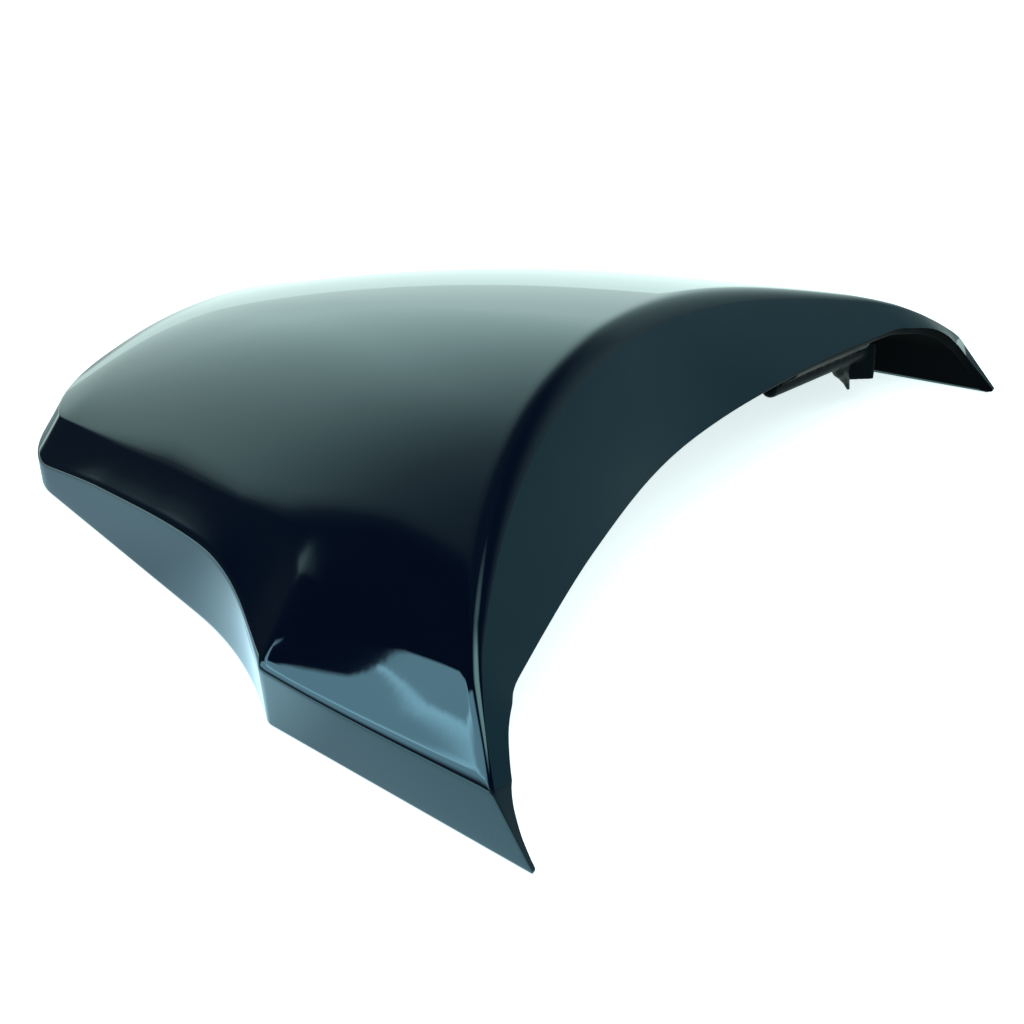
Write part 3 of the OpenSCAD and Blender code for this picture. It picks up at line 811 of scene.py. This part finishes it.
@dataclass
class HookBracket:
    """A hook bracket behind the fascia, from the same lip as the shell, in millimetres from the wing tips.

    Its bar, claw, flange and tongue are fused and eased at the corners, as one moulding.
    """

    form: CowlForm = field(default_factory=CowlForm)
    bar_drop: tuple[float, float, float] = (0.0, 9.0, -8.2)
    bar_from: float = 2.43
    bar_to: float = 2.02
    bar_radii: tuple[float, float] = (2.5, 2.9)
    claw_place: float = 0.84
    claw_half_width: float = 2.2
    claw_round: float = 2.6
    claw_path: tuple[tuple[tuple[float, float, float], float], ...] = (
        ((-0.2, 0.3, 0.4), 2.9),
        ((-4.5, 0.2, -0.6), 2.0),
        ((-1.6, 0.1, -3.2), 2.6),
        ((0.9, 0.0, -5.6), 2.2),
        ((2.9, -0.3, -8.8), 1.3),
        ((4.6, -0.5, -12.2), 0.6),
    )
    claw_web: tuple[tuple[float, float, float], float] = ((2.2, 0.0, -2.0), 1.8)
    claw_web_to: int = 3
    tongue_way: tuple[float, float, float] = (0.59, -0.81, 0.0)
    tongue_offset: tuple[float, float, float] = (1.2, -1.0, 1.0)
    tongue_half: float = 4.2
    tongue_depth: float = 10.3
    tongue_arch: float = 0.7
    tongue_wall: float = 1.0
    tongue_rim: tuple[float, float] = (1.7, 1.12)
    flange_from: float = 2.07
    flange_short: float = 0.02
    flange_cuts: int = 7
    flange_gap: float = 0.15
    flange_wall: float = 1.1
    flange_rise: float = 0.62
    flange_foot: tuple[float, float, float] = (0.0, 0.6, -1.2)
    flange_heel: tuple[float, float, float] = (0.0, 1.2, 0.8)
    fuse_step: float = 0.42
    ease_share: float = 0.5
    ease_rounds: int = 4

    def lip(self, v: float) -> np.ndarray:
        """Point of the fascia's lip at the place v."""
        return self.form.lip(np.array([v]))[0]

    def build(self, side: Side) -> bpy.types.Object:
        """Builds the bracket of one side.

        Args:
            side: Side of the cowl that it is on.

        Returns:
            The object, in metres in the part's frame.
        """
        work = bmesh.new()
        start = self.lip(self.bar_from) + np.array(self.bar_drop)
        end = self.lip(self.bar_to) + np.array(self.bar_drop)
        self.hull(work, [self.ball(start, self.bar_radii[0]), self.ball(end, self.bar_radii[1])])
        self.claw(work, self.form.mix(start, end, self.claw_place))
        self.tongue(work, end)
        self.flange(work)
        turn = np.array([side.value, 1, 1])
        for vert in work.verts:
            vert.co = Vector((np.array(vert.co) * turn - np.array([0, self.form.body_len / 2, 0])) * MM)
        if side is Side.LEFT:
            bmesh.ops.reverse_faces(work, faces=work.faces)
        name = f"hook_bracket_{side.name.lower()}_moulding"
        mesh = bpy.data.meshes.new(name)
        work.to_mesh(mesh)
        work.free()
        bracket = bpy.data.objects.new(name, mesh)
        bpy.context.scene.collection.objects.link(bracket)
        fuse = bracket.modifiers.new("fuse", "REMESH")
        fuse.mode = "VOXEL"
        fuse.voxel_size = self.fuse_step * MM
        fuse.use_smooth_shade = True
        ease = bracket.modifiers.new("ease", "SMOOTH")
        ease.factor = self.ease_share
        ease.iterations = self.ease_rounds
        return bracket

    @staticmethod
    def ball(centre: np.ndarray, radius: float, squash: tuple[float, float, float] = (1, 1, 1)) -> np.ndarray:
        """Points on a ball, squashed along the axes.

        Args:
            centre: Middle of the ball.
            radius: Its radius before it is squashed.
            squash: Share of the radius left along each axis.

        Returns:
            The points.
        """
        up, about = np.meshgrid(np.linspace(-90, 90, 9), np.arange(0, 360, 22.5), indexing="ij")
        up, about = np.radians(up), np.radians(about)
        pts = np.stack([np.cos(up) * np.cos(about), np.cos(up) * np.sin(about), np.sin(up)], -1)
        return centre + pts.reshape(-1, 3) * radius * np.array(squash)

    @staticmethod
    def hull(work: bmesh.types.BMesh, clouds: list[np.ndarray]) -> None:
        """Adds the convex hull of some points.

        Args:
            work: The mesh being built.
            clouds: Arrays of points.
        """
        verts = [work.verts.new(point) for cloud in clouds for point in cloud.tolist()]
        made = bmesh.ops.convex_hull(work, input=verts)
        unused = made["geom_interior"] + made["geom_unused"]
        spare = {item for item in unused if isinstance(item, bmesh.types.BMVert)}
        bmesh.ops.delete(work, geom=list(spare), context="VERTS")

    def claw(self, work: bmesh.types.BMesh, at: np.ndarray) -> None:
        """Adds the claw, a horn that curves down and outwards from the bar to a fine tip.

        Args:
            work: The mesh being built.
            at: Point of the bar that it grows from.
        """
        flat = (1.0, self.claw_half_width / self.claw_round, 1.0)
        balls = [self.ball(at + np.array(offset), radius, flat) for offset, radius in self.claw_path]
        for first, second in zip(balls, balls[1:]):
            self.hull(work, [first, second])
        offset, radius = self.claw_web
        self.hull(work, [balls[0], self.ball(at + np.array(offset), radius, flat), balls[self.claw_web_to]])

    def tongue(self, work: bmesh.types.BMesh, end: np.ndarray) -> None:
        """Adds the tongue at the outer end of the bar, an arched plate that hangs beside the wing.

        Args:
            work: The mesh being built.
            end: Outer end of the bar.
        """
        along = self.form.unit(np.array(self.tongue_way))
        out = np.array([-along[1], along[0], 0.0])
        centre = end + np.array(self.tongue_offset)
        half, arch_h = self.tongue_half, self.tongue_half * self.tongue_arch
        turns = [math.radians(angle) for angle in range(0, 181, 15)]
        arch = [(-half, -self.tongue_depth), (half, -self.tongue_depth)]
        arch += [(half * math.cos(turn), arch_h * math.sin(turn)) for turn in turns]
        back, wider = self.tongue_rim
        for shift, grow in ((0.0, 1.0), (self.tongue_wall * back, wider)):
            face = [centre + along * u * grow + np.array([0, 0, w * (grow if w > 0 else 1)]) for u, w in arch]
            near = np.stack([p + out * (shift - self.tongue_wall) for p in face])
            far = np.stack([p + out * (shift + self.tongue_wall) for p in face])
            self.hull(work, [near, far])

    def flange(self, work: bmesh.types.BMesh) -> None:
        """Adds the bonded flange, from the bar up the back of the fascia.

        Args:
            work: The mesh being built.
        """
        form = self.form
        inside, outside = form.wall + self.flange_gap, form.wall + self.flange_gap + self.flange_wall
        cuts = []
        for v in np.linspace(self.flange_from, self.bar_from - self.flange_short, self.flange_cuts):
            n = form.fascia_in(np.array([v]))[0]
            lip = self.lip(v)
            high = form.mix(lip, form.skin(np.zeros(1), np.array([v]))[0], self.flange_rise)
            low = lip + np.array(self.bar_drop)
            foot = lip + outside * n + np.array(self.flange_foot)
            upright = np.stack([lip + inside * n, high + inside * n, high + outside * n, foot])
            shelf = np.stack([low, low + np.array(self.flange_heel), lip + inside * n, foot])
            cuts.append((upright, shelf))
        for first, second in zip(cuts, cuts[1:]):
            for one, other in zip(first, second):
                self.hull(work, [one, other])


@dataclass(frozen=True)
class Finish:
    """What every finish has: its name and the sockets of the shader that are the same all over."""

    name: str
    colour: str
    roughness: float
    metallic: float = 0.0
    ior: float = 1.5
    specular: float = 0.5
    tint: str = "FFFFFF"
    grain_mm: float = 0.0
    grain_depth_mm: float = 0.0
    colour_drift: float = 0.0
    roughness_drift: float = 0.0
    drift_mm: float = 30.0

    def material(self) -> bpy.types.Material:
        """Builds the finish as a node material.

        Returns:
            The material, with slow drifts of colour and roughness and a fine grain, in the object's space.
        """
        made = bpy.data.materials.new(self.name)
        made.use_nodes = True
        tree = made.node_tree
        tree.nodes.clear()
        place = add_node(tree, "ShaderNodeTexCoord").outputs["Object"]
        drift = add_node(
            tree, "ShaderNodeTexNoise", {"Vector": place, "Scale": 1 / (self.drift_mm * MM), "Detail": 3.0}
        )
        base = linear(self.colour)
        lighter = tuple(min(1.0, c * (1 + self.colour_drift)) for c in base[:3]) + (1.0,)
        darker = tuple(c * (1 - self.colour_drift) for c in base[:3]) + (1.0,)
        colour = add_node(tree, "ShaderNodeMix", {"Factor": drift, 6: darker, 7: lighter}, data_type="RGBA")
        rough = add_node(
            tree,
            "ShaderNodeMapRange",
            {
                "Value": drift,
                "From Min": 0.25,
                "From Max": 0.75,
                "To Min": self.roughness * (1 - self.roughness_drift),
                "To Max": self.roughness * (1 + self.roughness_drift),
            },
        )
        shader = add_node(
            tree,
            "ShaderNodeBsdfPrincipled",
            {
                "Base Color": colour.outputs[2],
                "Roughness": rough,
                "Metallic": self.metallic,
                "IOR": self.ior,
                "Specular IOR Level": self.specular,
                "Specular Tint": linear(self.tint),
            },
        )
        if self.grain_mm:
            scale, depth = 1 / (self.grain_mm * MM), self.grain_depth_mm * MM
            grain = add_node(tree, "ShaderNodeTexNoise", {"Vector": place, "Scale": scale, "Detail": 2.0})
            bump = add_node(tree, "ShaderNodeBump", {"Height": grain, "Distance": depth, "Strength": 1.0})
            tree.links.new(bump.outputs["Normal"], shader.inputs["Normal"])
        add_node(tree, "ShaderNodeOutputMaterial", {"Surface": shader})
        return made


# Lacquered ABS: a deep blue-black with a wet clear gloss and the faint orange peel of sprayed lacquer
GLOSS = Finish("abs_gloss_lacquer", "030A1A", 0.03, specular=0.95, tint="C4EFF4", grain_mm=3.0,
               grain_depth_mm=0.0015, colour_drift=0.08, roughness_drift=0.15)
# Moulded ABS left satin: the spark-eroded grain of the mould breaks the gloss into a soft sheen. The real
# grain is near 0.1 mm and is drawn at 0.5 mm, so that it shows
SATIN = Finish("abs_satin_moulded", "10252E", 0.36, specular=0.28, tint="A8DCF2", grain_mm=0.5,
               grain_depth_mm=0.012, colour_drift=0.1, roughness_drift=0.12)
# Moulded ABS that no spray reached: raw black, drawn darker and less shiny than raw ABS as painted shade
# under the shell
RAW_BLACK_AND_SHADE = Finish("abs_raw_black_and_painted_shade", "020508", 0.6, specular=0.03, grain_mm=0.6, grain_depth_mm=0.01,
             colour_drift=0.15, roughness_drift=0.1)
# Moulded black nylon: matt and slightly waxy, with a coarser grain than the shell, drawn darker and less
# shiny than nylon as painted shade under the shell
NYLON_AND_SHADE = Finish("nylon_moulded_and_painted_shade", "03060A", 0.42, specular=0.05, tint="B4E4F4", grain_mm=0.7,
               grain_depth_mm=0.02, colour_drift=0.12, roughness_drift=0.15, drift_mm=12)
# Powder-coated steel sheet: the cured powder leaves soft pebbles about a millimetre across
POWDER = Finish("steel_powder_coated", "1B2023", 0.4, grain_mm=1.1, grain_depth_mm=0.03, colour_drift=0.08,
                roughness_drift=0.12, drift_mm=25)
# Turned brass: warm yellow metal with fine tool marks that spread the highlight. The marks are near 0.1 mm
# apart and are drawn at 0.25 mm, so that they show
BRASS = Finish("brass_turned", "C7A15A", 0.28, metallic=1.0, grain_mm=0.25, grain_depth_mm=0.004,
               colour_drift=0.06, roughness_drift=0.25, drift_mm=4)
# Zinc-plated steel: pale blue-grey metal, clouded by the passivation
ZINC = Finish("steel_zinc_plated", "B4B9BC", 0.3, metallic=1.0, grain_mm=0.4, grain_depth_mm=0.004,
              colour_drift=0.07, roughness_drift=0.3, drift_mm=5)
# Bright-plated steel bar: smoother than the screws, with a faint drawn grain
BRIGHT = Finish("steel_bright_plated", "C3C7C9", 0.18, metallic=1.0, grain_mm=0.6, grain_depth_mm=0.003,
                colour_drift=0.05, roughness_drift=0.3, drift_mm=8)
# Moulded rubber: dull black that scatters light, with a trace of bloom
RUBBER = Finish("rubber_moulded", "17191A", 0.7, specular=0.35, grain_mm=0.8, grain_depth_mm=0.025,
                colour_drift=0.2, roughness_drift=0.08, drift_mm=6)


@dataclass
class Underside:
    """The fixings under the shell, kept as the CAD nodes and given their finishes."""

    finishes: dict[str, Finish] = field(
        default_factory=lambda: {
            "latch_frame": POWDER,
            # The posts' nylon is darkened as painted shade under the shell
            "post": NYLON_AND_SHADE,
            "inserts": BRASS,
            "washers": ZINC,
            "screws": ZINC,
            "striker": BRIGHT,
            "buffer": RUBBER,
        }
    )

    def dress(self, nodes: dict[str, bpy.types.Object]) -> None:
        """Gives each node of the underside its finish.

        Args:
            nodes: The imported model's nodes by name.
        """
        made = {finish.name: finish.material() for finish in self.finishes.values()}
        for name, node in nodes.items():
            for start, finish in self.finishes.items():
                if name.startswith(start):
                    node.data.materials.clear()
                    node.data.materials.append(made[finish.name])
                    LOG.info("dressed %s in %s", name, finish.name)


@dataclass(frozen=True)
class PhotoCamera:
    """Camera at the photograph's angle, in degrees, metres in the part's frame, and millimetres of lens."""

    azimuth: float = -58.15
    elevation: float = 31.0
    place: tuple[float, float, float] = (-0.48013, -0.32061, 0.33685)
    lens: float = 84.375
    sensor: float = 36.0
    nearest: float = 0.01

    def create(self) -> bpy.types.Object:
        """Creates the camera and makes it the scene's.

        Returns:
            The camera.
        """
        a, e = math.radians(self.azimuth), math.radians(self.elevation)
        back = Vector((math.sin(a) * math.cos(e), -math.cos(a) * math.cos(e), math.sin(e)))
        right = Vector((math.cos(a), math.sin(a), 0.0))
        up = back.cross(right)
        data = bpy.data.cameras.new("camera")
        data.lens = self.lens
        data.sensor_width = self.sensor
        data.clip_start = self.nearest
        camera = bpy.data.objects.new("camera", data)
        turn = Matrix((right, up, back)).transposed().to_4x4()
        camera.matrix_world = Matrix.Translation(self.place) @ turn
        bpy.context.scene.collection.objects.link(camera)
        bpy.context.scene.camera = camera
        return camera


@dataclass(frozen=True)
class LightCard:
    """The card that the wings mirror, by rise and by heading from the backdrop's edge, in degrees.

    Its near edge has a bay, and one slanting streak on it is brighter, sharp above and soft below.
    """

    level: float = 2.9
    slant: float = 0.25
    bay_ends: tuple[tuple[float, float], tuple[float, float]] = ((51.0, 52.4), (56.3, 54.2))
    bay_depth: float = 12.0
    near_edge: tuple[float, float] = (43.2, 45.0)
    far_edge: tuple[float, float] = (78.0, 95.0)
    low_edge: tuple[float, float] = (12.0, 24.0)
    high_edge: tuple[float, float] = (54.0, 60.0)
    streak_level: float = 3.2
    streak_slope: float = 1.95
    streak_bend: float = 1.2
    streak_bend_from: float = 52.8
    streak_edges: tuple[float, float, float] = (152.4, 153.5, 157.5)

    def strength(
        self, tree: bpy.types.NodeTree, rise: bpy.types.NodeSocket, head: bpy.types.NodeSocket
    ) -> bpy.types.Node:
        """Adds the card to the world.

        Args:
            tree: The world's node tree.
            rise: Height of the direction above the horizon.
            head: Heading of the direction from the backdrop's edge.

        Returns:
            The node that gives the card's strength.
        """
        lean = add_node(tree, "ShaderNodeMath", {0: head, 1: self.slant, 2: rise}, operation="MULTIPLY_ADD")
        ends = [
            add_node(
                tree,
                "ShaderNodeMapRange",
                {"Value": lean, "From Min": start, "From Max": full},
                interpolation_type="SMOOTHSTEP",
            )
            for start, full in self.bay_ends
        ]
        bay = add_node(tree, "ShaderNodeMath", {0: ends[0], 1: ends[1]}, operation="MULTIPLY")
        bayed = {0: bay, 1: self.bay_depth, 2: head}
        past = add_node(tree, "ShaderNodeMath", bayed, operation="MULTIPLY_ADD")
        edges = ((past, self.near_edge, (0.0, 1.0)), (head, self.far_edge, (1.0, 0.0)))
        edges += ((rise, self.low_edge, (0.0, 1.0)), (rise, self.high_edge, (1.0, 0.0)))
        shape = self.streak(tree, lean, head)
        for way, (start, end), (first, last) in edges:
            edge = add_node(
                tree,
                "ShaderNodeMapRange",
                {"Value": way, "From Min": start, "From Max": end, "To Min": first, "To Max": last},
            )
            shape = add_node(tree, "ShaderNodeMath", {0: shape, 1: edge}, operation="MULTIPLY")
        return shape

    def streak(
        self, tree: bpy.types.NodeTree, lean: bpy.types.Node, head: bpy.types.NodeSocket
    ) -> bpy.types.Node:
        """Adds the card's own level with the brighter streak.

        Args:
            tree: The world's node tree.
            lean: Place across the slanting card.
            head: Heading of the direction from the backdrop's edge.

        Returns:
            The node that gives the level.
        """
        over = add_node(tree, "ShaderNodeMath", {0: lean, 1: self.streak_bend_from}, operation="SUBTRACT")
        curl = add_node(tree, "ShaderNodeMath", {0: over, 1: 0.0}, operation="MAXIMUM")
        bend = add_node(tree, "ShaderNodeMath", {0: curl, 1: curl}, operation="MULTIPLY")
        line = add_node(
            tree, "ShaderNodeMath", {0: lean, 1: self.streak_slope, 2: head}, operation="MULTIPLY_ADD"
        )
        across = add_node(
            tree, "ShaderNodeMath", {0: bend, 1: self.streak_bend, 2: line}, operation="MULTIPLY_ADD"
        )
        start, crest, end = self.streak_edges
        sharp = add_node(tree, "ShaderNodeMapRange", {"Value": across, "From Min": start, "From Max": crest})
        soft = add_node(
            tree,
            "ShaderNodeMapRange",
            {"Value": across, "From Min": crest, "From Max": end, "To Min": self.streak_level, "To Max": 0.0},
            interpolation_type="SMOOTHSTEP",
        )
        return add_node(tree, "ShaderNodeMath", {0: sharp, 1: soft, 2: self.level}, operation="MULTIPLY_ADD")


@dataclass(frozen=True)
class FloorPatch:
    """A patch of the mirrored floor: its place, inner and outer radius in metres, and its gain at both."""

    place: tuple[float, float, float]
    reach: tuple[float, float]
    gain: tuple[float, float]


@dataclass(frozen=True)
class Studio:
    """Pale floor, soft lamp, and the backdrop, flag and light card that the gloss reflects."""

    # The floor, and how bright the gloss mirrors it: dim beside the cowl, brighter away from it
    floor_size: float = 6.0
    floor_drop: float = 0.0004
    floor_colour: str = "EAF6F6"
    lift_colour: str = "ECFAFB"
    lift: float = 0.8
    mirror_far: float = 2.1
    mirror_fall: float = 0.12
    mirror_least: float = 0.75
    bright: FloorPatch = FloorPatch((-0.113, 0.004, 0.0), (0.016, 0.05), (1.9, 1.0))
    dim: FloorPatch = FloorPatch((-0.02, 0.17, 0.0), (0.04, 0.12), (0.45, 1.1))
    tone_reach: tuple[float, float] = (0.11, 0.2)
    near_tone: str = "C6EEFF"

    # The lamp overhead, in metres and watts
    lamp_place: tuple[float, float, float] = (-0.25, -0.3, 1.1)
    lamp_size: float = 0.9
    lamp_power: float = 5.0

    # The backdrop: level by rise and by heading from its edge, in degrees. Its edge leans where it is high
    backdrop_heading: float = 160.0
    backdrop_tone: str = "E6FFFA"
    rise_levels: tuple[tuple[float, float], ...] = (
        (0, 1.85), (10, 2.1), (15, 2.3), (20, 2.22), (25, 2.05), (30, 1.78), (35, 1.44), (40, 1.02),
        (45, 0.52), (50, 0.2), (55, 0.06), (62, 0.03), (90, 0.03)
    )
    rise_most: float = 2.5
    heading_levels: tuple[tuple[float, float], ...] = (
        (-180, 0.14), (-100, 0.16), (-60, 0.5), (-45, 0.9), (-30, 1.0), (-20, 1.04), (-12, 0.8), (-6, 0.66),
        (-2, 0.58), (3, 0.5), (5, 0.44), (7.2, 0.06), (9, 0.02), (60, 0.02), (100, 0.1), (140, 0.14),
        (180, 0.14)
    )
    heading_most: float = 1.2
    lean_from: float = 25.0
    lean_most: float = 8.0
    lean_share: float = -0.4
    lean_fade: tuple[float, float] = (38.0, 46.0)
    overhead: tuple[float, float] = (68.0, 76.0)
    overhead_level: float = 3.0
    card: LightCard = LightCard()
    card_tone: str = "C8EBFF"
    plain_colour: str = "F6FBFC"
    plain_level: float = 0.85

    def create(self) -> None:
        """Creates the floor, the lamp and the world, and shows colours as they are written."""
        bpy.context.scene.view_settings.view_transform = "Standard"
        self.floor()
        self.lamp()
        self.world()

    def floor(self) -> bpy.types.Object:
        """Creates the pale floor, which keeps the object's shadow.

        Returns:
            The floor.
        """
        h = self.floor_size / 2
        mesh = bpy.data.meshes.new("studio_floor")
        mesh.from_pydata([(-h, -h, 0), (h, -h, 0), (h, h, 0), (-h, h, 0)], [], [(0, 1, 2, 3)])
        floor = bpy.data.objects.new("studio_floor", mesh)
        floor.location.z = -self.floor_drop
        bpy.context.scene.collection.objects.link(floor)
        made = bpy.data.materials.new("paper_white_matt")
        made.use_nodes = True
        tree = made.node_tree
        tree.nodes.clear()
        path = add_node(tree, "ShaderNodeLightPath").outputs
        paper = add_node(tree, "ShaderNodeBsdfDiffuse", {"Color": linear(self.floor_colour)})
        glow = {"Color": linear(self.lift_colour), "Strength": self.lift}
        lift = add_node(tree, "ShaderNodeEmission", glow)
        seen = add_node(tree, "ShaderNodeAddShader", {0: paper, 1: lift})
        shown = paper
        for ray, other in (("Is Camera Ray", seen), ("Is Glossy Ray", self.mirrored_floor(tree))):
            shown = add_node(tree, "ShaderNodeMixShader", {0: path[ray], 1: shown, 2: other})
        add_node(tree, "ShaderNodeOutputMaterial", {"Surface": shown})
        mesh.materials.append(made)
        return floor

    def mirrored_floor(self, tree: bpy.types.NodeTree) -> bpy.types.Node:
        """Adds the floor as the gloss mirrors it.

        Args:
            tree: The floor's node tree.

        Returns:
            The node of its glow.
        """
        place = add_node(tree, "ShaderNodeTexCoord").outputs["Object"]
        away = add_node(tree, "ShaderNodeVectorMath", {0: place}, operation="LENGTH").outputs["Value"]
        fall = add_node(tree, "ShaderNodeMath", {0: self.mirror_fall, 1: away}, operation="DIVIDE")
        deep = add_node(tree, "ShaderNodeMath", {0: self.mirror_far, 1: fall}, operation="SUBTRACT")
        level = add_node(tree, "ShaderNodeMath", {0: deep, 1: self.mirror_least}, operation="MAXIMUM")
        spans = []
        for patch in (self.bright, self.dim):
            (start, end), (first, last) = patch.reach, patch.gain
            off = add_node(tree, "ShaderNodeVectorMath", {0: place, 1: patch.place}, operation="DISTANCE")
            spans.append(off.outputs["Value"])
            gain = add_node(
                tree,
                "ShaderNodeMapRange",
                {"Value": spans[-1], "From Min": start, "From Max": end, "To Min": first, "To Max": last},
                interpolation_type="SMOOTHSTEP",
            )
            level = add_node(tree, "ShaderNodeMath", {0: level, 1: gain}, operation="MULTIPLY")
        start, end = self.tone_reach
        reach = add_node(tree, "ShaderNodeMapRange", {"Value": spans[0], "From Min": start, "From Max": end})
        near, far = linear(self.near_tone), linear(self.backdrop_tone)
        tone = add_node(tree, "ShaderNodeMix", {"Factor": reach, 6: near, 7: far}, data_type="RGBA")
        return add_node(tree, "ShaderNodeEmission", {"Color": tone.outputs[2], "Strength": level})

    def lamp(self) -> bpy.types.Object:
        """Creates the wide soft lamp overhead that gives the soft shadow.

        Returns:
            The lamp.
        """
        data = bpy.data.lights.new("overhead_softbox", "AREA")
        data.shape = "SQUARE"
        data.size = self.lamp_size
        data.energy = self.lamp_power
        lamp = bpy.data.objects.new("overhead_softbox", data)
        lamp.location = self.lamp_place
        lamp.rotation_euler = (Vector((0, 0, 0)) - lamp.location).to_track_quat("-Z", "Y").to_euler()
        lamp.visible_glossy = False
        bpy.context.scene.collection.objects.link(lamp)
        return lamp

    def world(self) -> None:
        """Creates the world: white to the camera, plain light to matt faces, and a shaped studio to gloss.

        The backdrop behind the object glows and fades upwards, a dark flag stands beside it, and a light card
        leans beyond the flag, as the gloss shell shows them.
        """
        world = bpy.data.worlds.new("studio")
        bpy.context.scene.world = world
        world.use_nodes = True
        tree = world.node_tree
        tree.nodes.clear()
        way = add_node(tree, "ShaderNodeTexCoord").outputs["Generated"]
        turn = {"Vector": way, "Angle": -math.radians(self.backdrop_heading - 90)}
        turned = add_node(tree, "ShaderNodeVectorRotate", turn, rotation_type="Z_AXIS")
        axes = add_node(tree, "ShaderNodeSeparateXYZ", {0: turned}).outputs
        angles = [
            add_node(tree, "ShaderNodeMath", {0: axes["Z"]}, operation="ARCSINE"),
            add_node(tree, "ShaderNodeMath", {0: axes["Y"], 1: axes["X"]}, operation="ARCTAN2"),
        ]
        rise, head = [
            add_node(tree, "ShaderNodeMath", {0: angle, 1: 180 / math.pi}, operation="MULTIPLY").outputs[0]
            for angle in angles
        ]
        card = self.card.strength(tree, rise, head)
        start, end = self.overhead
        above = add_node(
            tree,
            "ShaderNodeMapRange",
            {"Value": rise, "From Min": start, "From Max": end, "To Max": self.overhead_level},
        )
        level = self.backdrop(tree, rise, head)
        for part in (card, above):
            level = add_node(tree, "ShaderNodeMath", {0: level, 1: part}, operation="ADD")
        tones = {"Factor": card, 6: linear(self.backdrop_tone), 7: linear(self.card_tone)}
        tone = add_node(tree, "ShaderNodeMix", tones, data_type="RGBA")
        mirrored = add_node(tree, "ShaderNodeBackground", {"Color": tone.outputs[2], "Strength": level})
        plain = {"Color": linear(self.plain_colour), "Strength": self.plain_level}
        shown = add_node(tree, "ShaderNodeBackground", plain)
        white = add_node(tree, "ShaderNodeBackground", {"Color": linear("FFFFFF"), "Strength": 1.0})
        path = add_node(tree, "ShaderNodeLightPath").outputs
        for ray, other in (("Is Glossy Ray", mirrored), ("Is Camera Ray", white)):
            shown = add_node(tree, "ShaderNodeMixShader", {0: path[ray], 1: shown, 2: other})
        add_node(tree, "ShaderNodeOutputWorld", {"Surface": shown})

    def backdrop(
        self, tree: bpy.types.NodeTree, rise: bpy.types.NodeSocket, head: bpy.types.NodeSocket
    ) -> bpy.types.Node:
        """Adds the backdrop and the dark flag beside it.

        Args:
            tree: The world's node tree.
            rise: Height of the direction above the horizon, in degrees.
            head: Heading of the direction from the backdrop's edge, in degrees.

        Returns:
            The node that gives their level.
        """
        over = add_node(tree, "ShaderNodeMath", {0: rise, 1: self.lean_from}, operation="SUBTRACT")
        climb = add_node(tree, "ShaderNodeClamp", {"Value": over, "Min": 0.0, "Max": self.lean_most})
        start, end = self.lean_fade
        lean = add_node(
            tree,
            "ShaderNodeMapRange",
            {"Value": rise, "From Min": start, "From Max": end, "To Min": self.lean_share, "To Max": 0.0},
        )
        turned = add_node(tree, "ShaderNodeMath", {0: climb, 1: lean, 2: head}, operation="MULTIPLY_ADD")
        levels = []
        for way, (start, end), most, stops in (
            (rise, (0.0, 90.0), self.rise_most, self.rise_levels),
            (turned, (-180.0, 180.0), self.heading_most, self.heading_levels),
        ):
            share = add_node(tree, "ShaderNodeMapRange", {"Value": way, "From Min": start, "From Max": end})
            ramp = add_node(tree, "ShaderNodeValToRGB", {0: share})
            self.shape_ramp(ramp.color_ramp, [((deg - start) / (end - start), v / most) for deg, v in stops])
            levels.append(ramp)
        lit = add_node(tree, "ShaderNodeMath", {0: levels[0], 1: levels[1]}, operation="MULTIPLY")
        most = self.rise_most * self.heading_most
        return add_node(tree, "ShaderNodeMath", {0: lit, 1: most}, operation="MULTIPLY")

    @staticmethod
    def shape_ramp(ramp: bpy.types.ColorRamp, stops: list[tuple[float, float]]) -> None:
        """Gives a ramp its grey stops.

        Args:
            ramp: The ramp of a node.
            stops: Place and level of each stop, both from 0 to 1.
        """
        ramp.interpolation = "LINEAR"
        while len(ramp.elements) > 1:
            ramp.elements.remove(ramp.elements[-1])
        ramp.elements[0].position = stops[0][0]
        ramp.elements[0].color = (stops[0][1],) * 3 + (1.0,)
        for place, level in stops[1:]:
            ramp.elements.new(place).color = (level,) * 3 + (1.0,)


def main() -> None:
    """Loads the frame, builds and dresses the cowl and sets the studio."""
    logging.basicConfig(level=logging.INFO, format="%(name)s: %(message)s")
    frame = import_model()
    PhotoCamera().create()
    Studio().create()
    cowl = CowlShell()
    shell = cowl.build()
    cowl.dress(shell)
    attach(shell, "root")
    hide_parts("shell")
    LOG.info("built cowl_shell with %d faces", len(shell.data.polygons))
    # The brackets' nylon is darkened as painted shade under the shell
    nylon = NYLON_AND_SHADE.material()
    for side, node in ((Side.RIGHT, "hook_bracket_right"), (Side.LEFT, "hook_bracket_left")):
        bracket = HookBracket().build(side)
        bracket.data.materials.append(nylon)
        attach(bracket, "root")
        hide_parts(node)
        LOG.info("built %s", bracket.name)
    rest = {name: node for name, node in frame["nodes"].items() if name != "shell" and "hook" not in name}
    Underside().dress(rest)


if __name__ == "__main__":
    main()
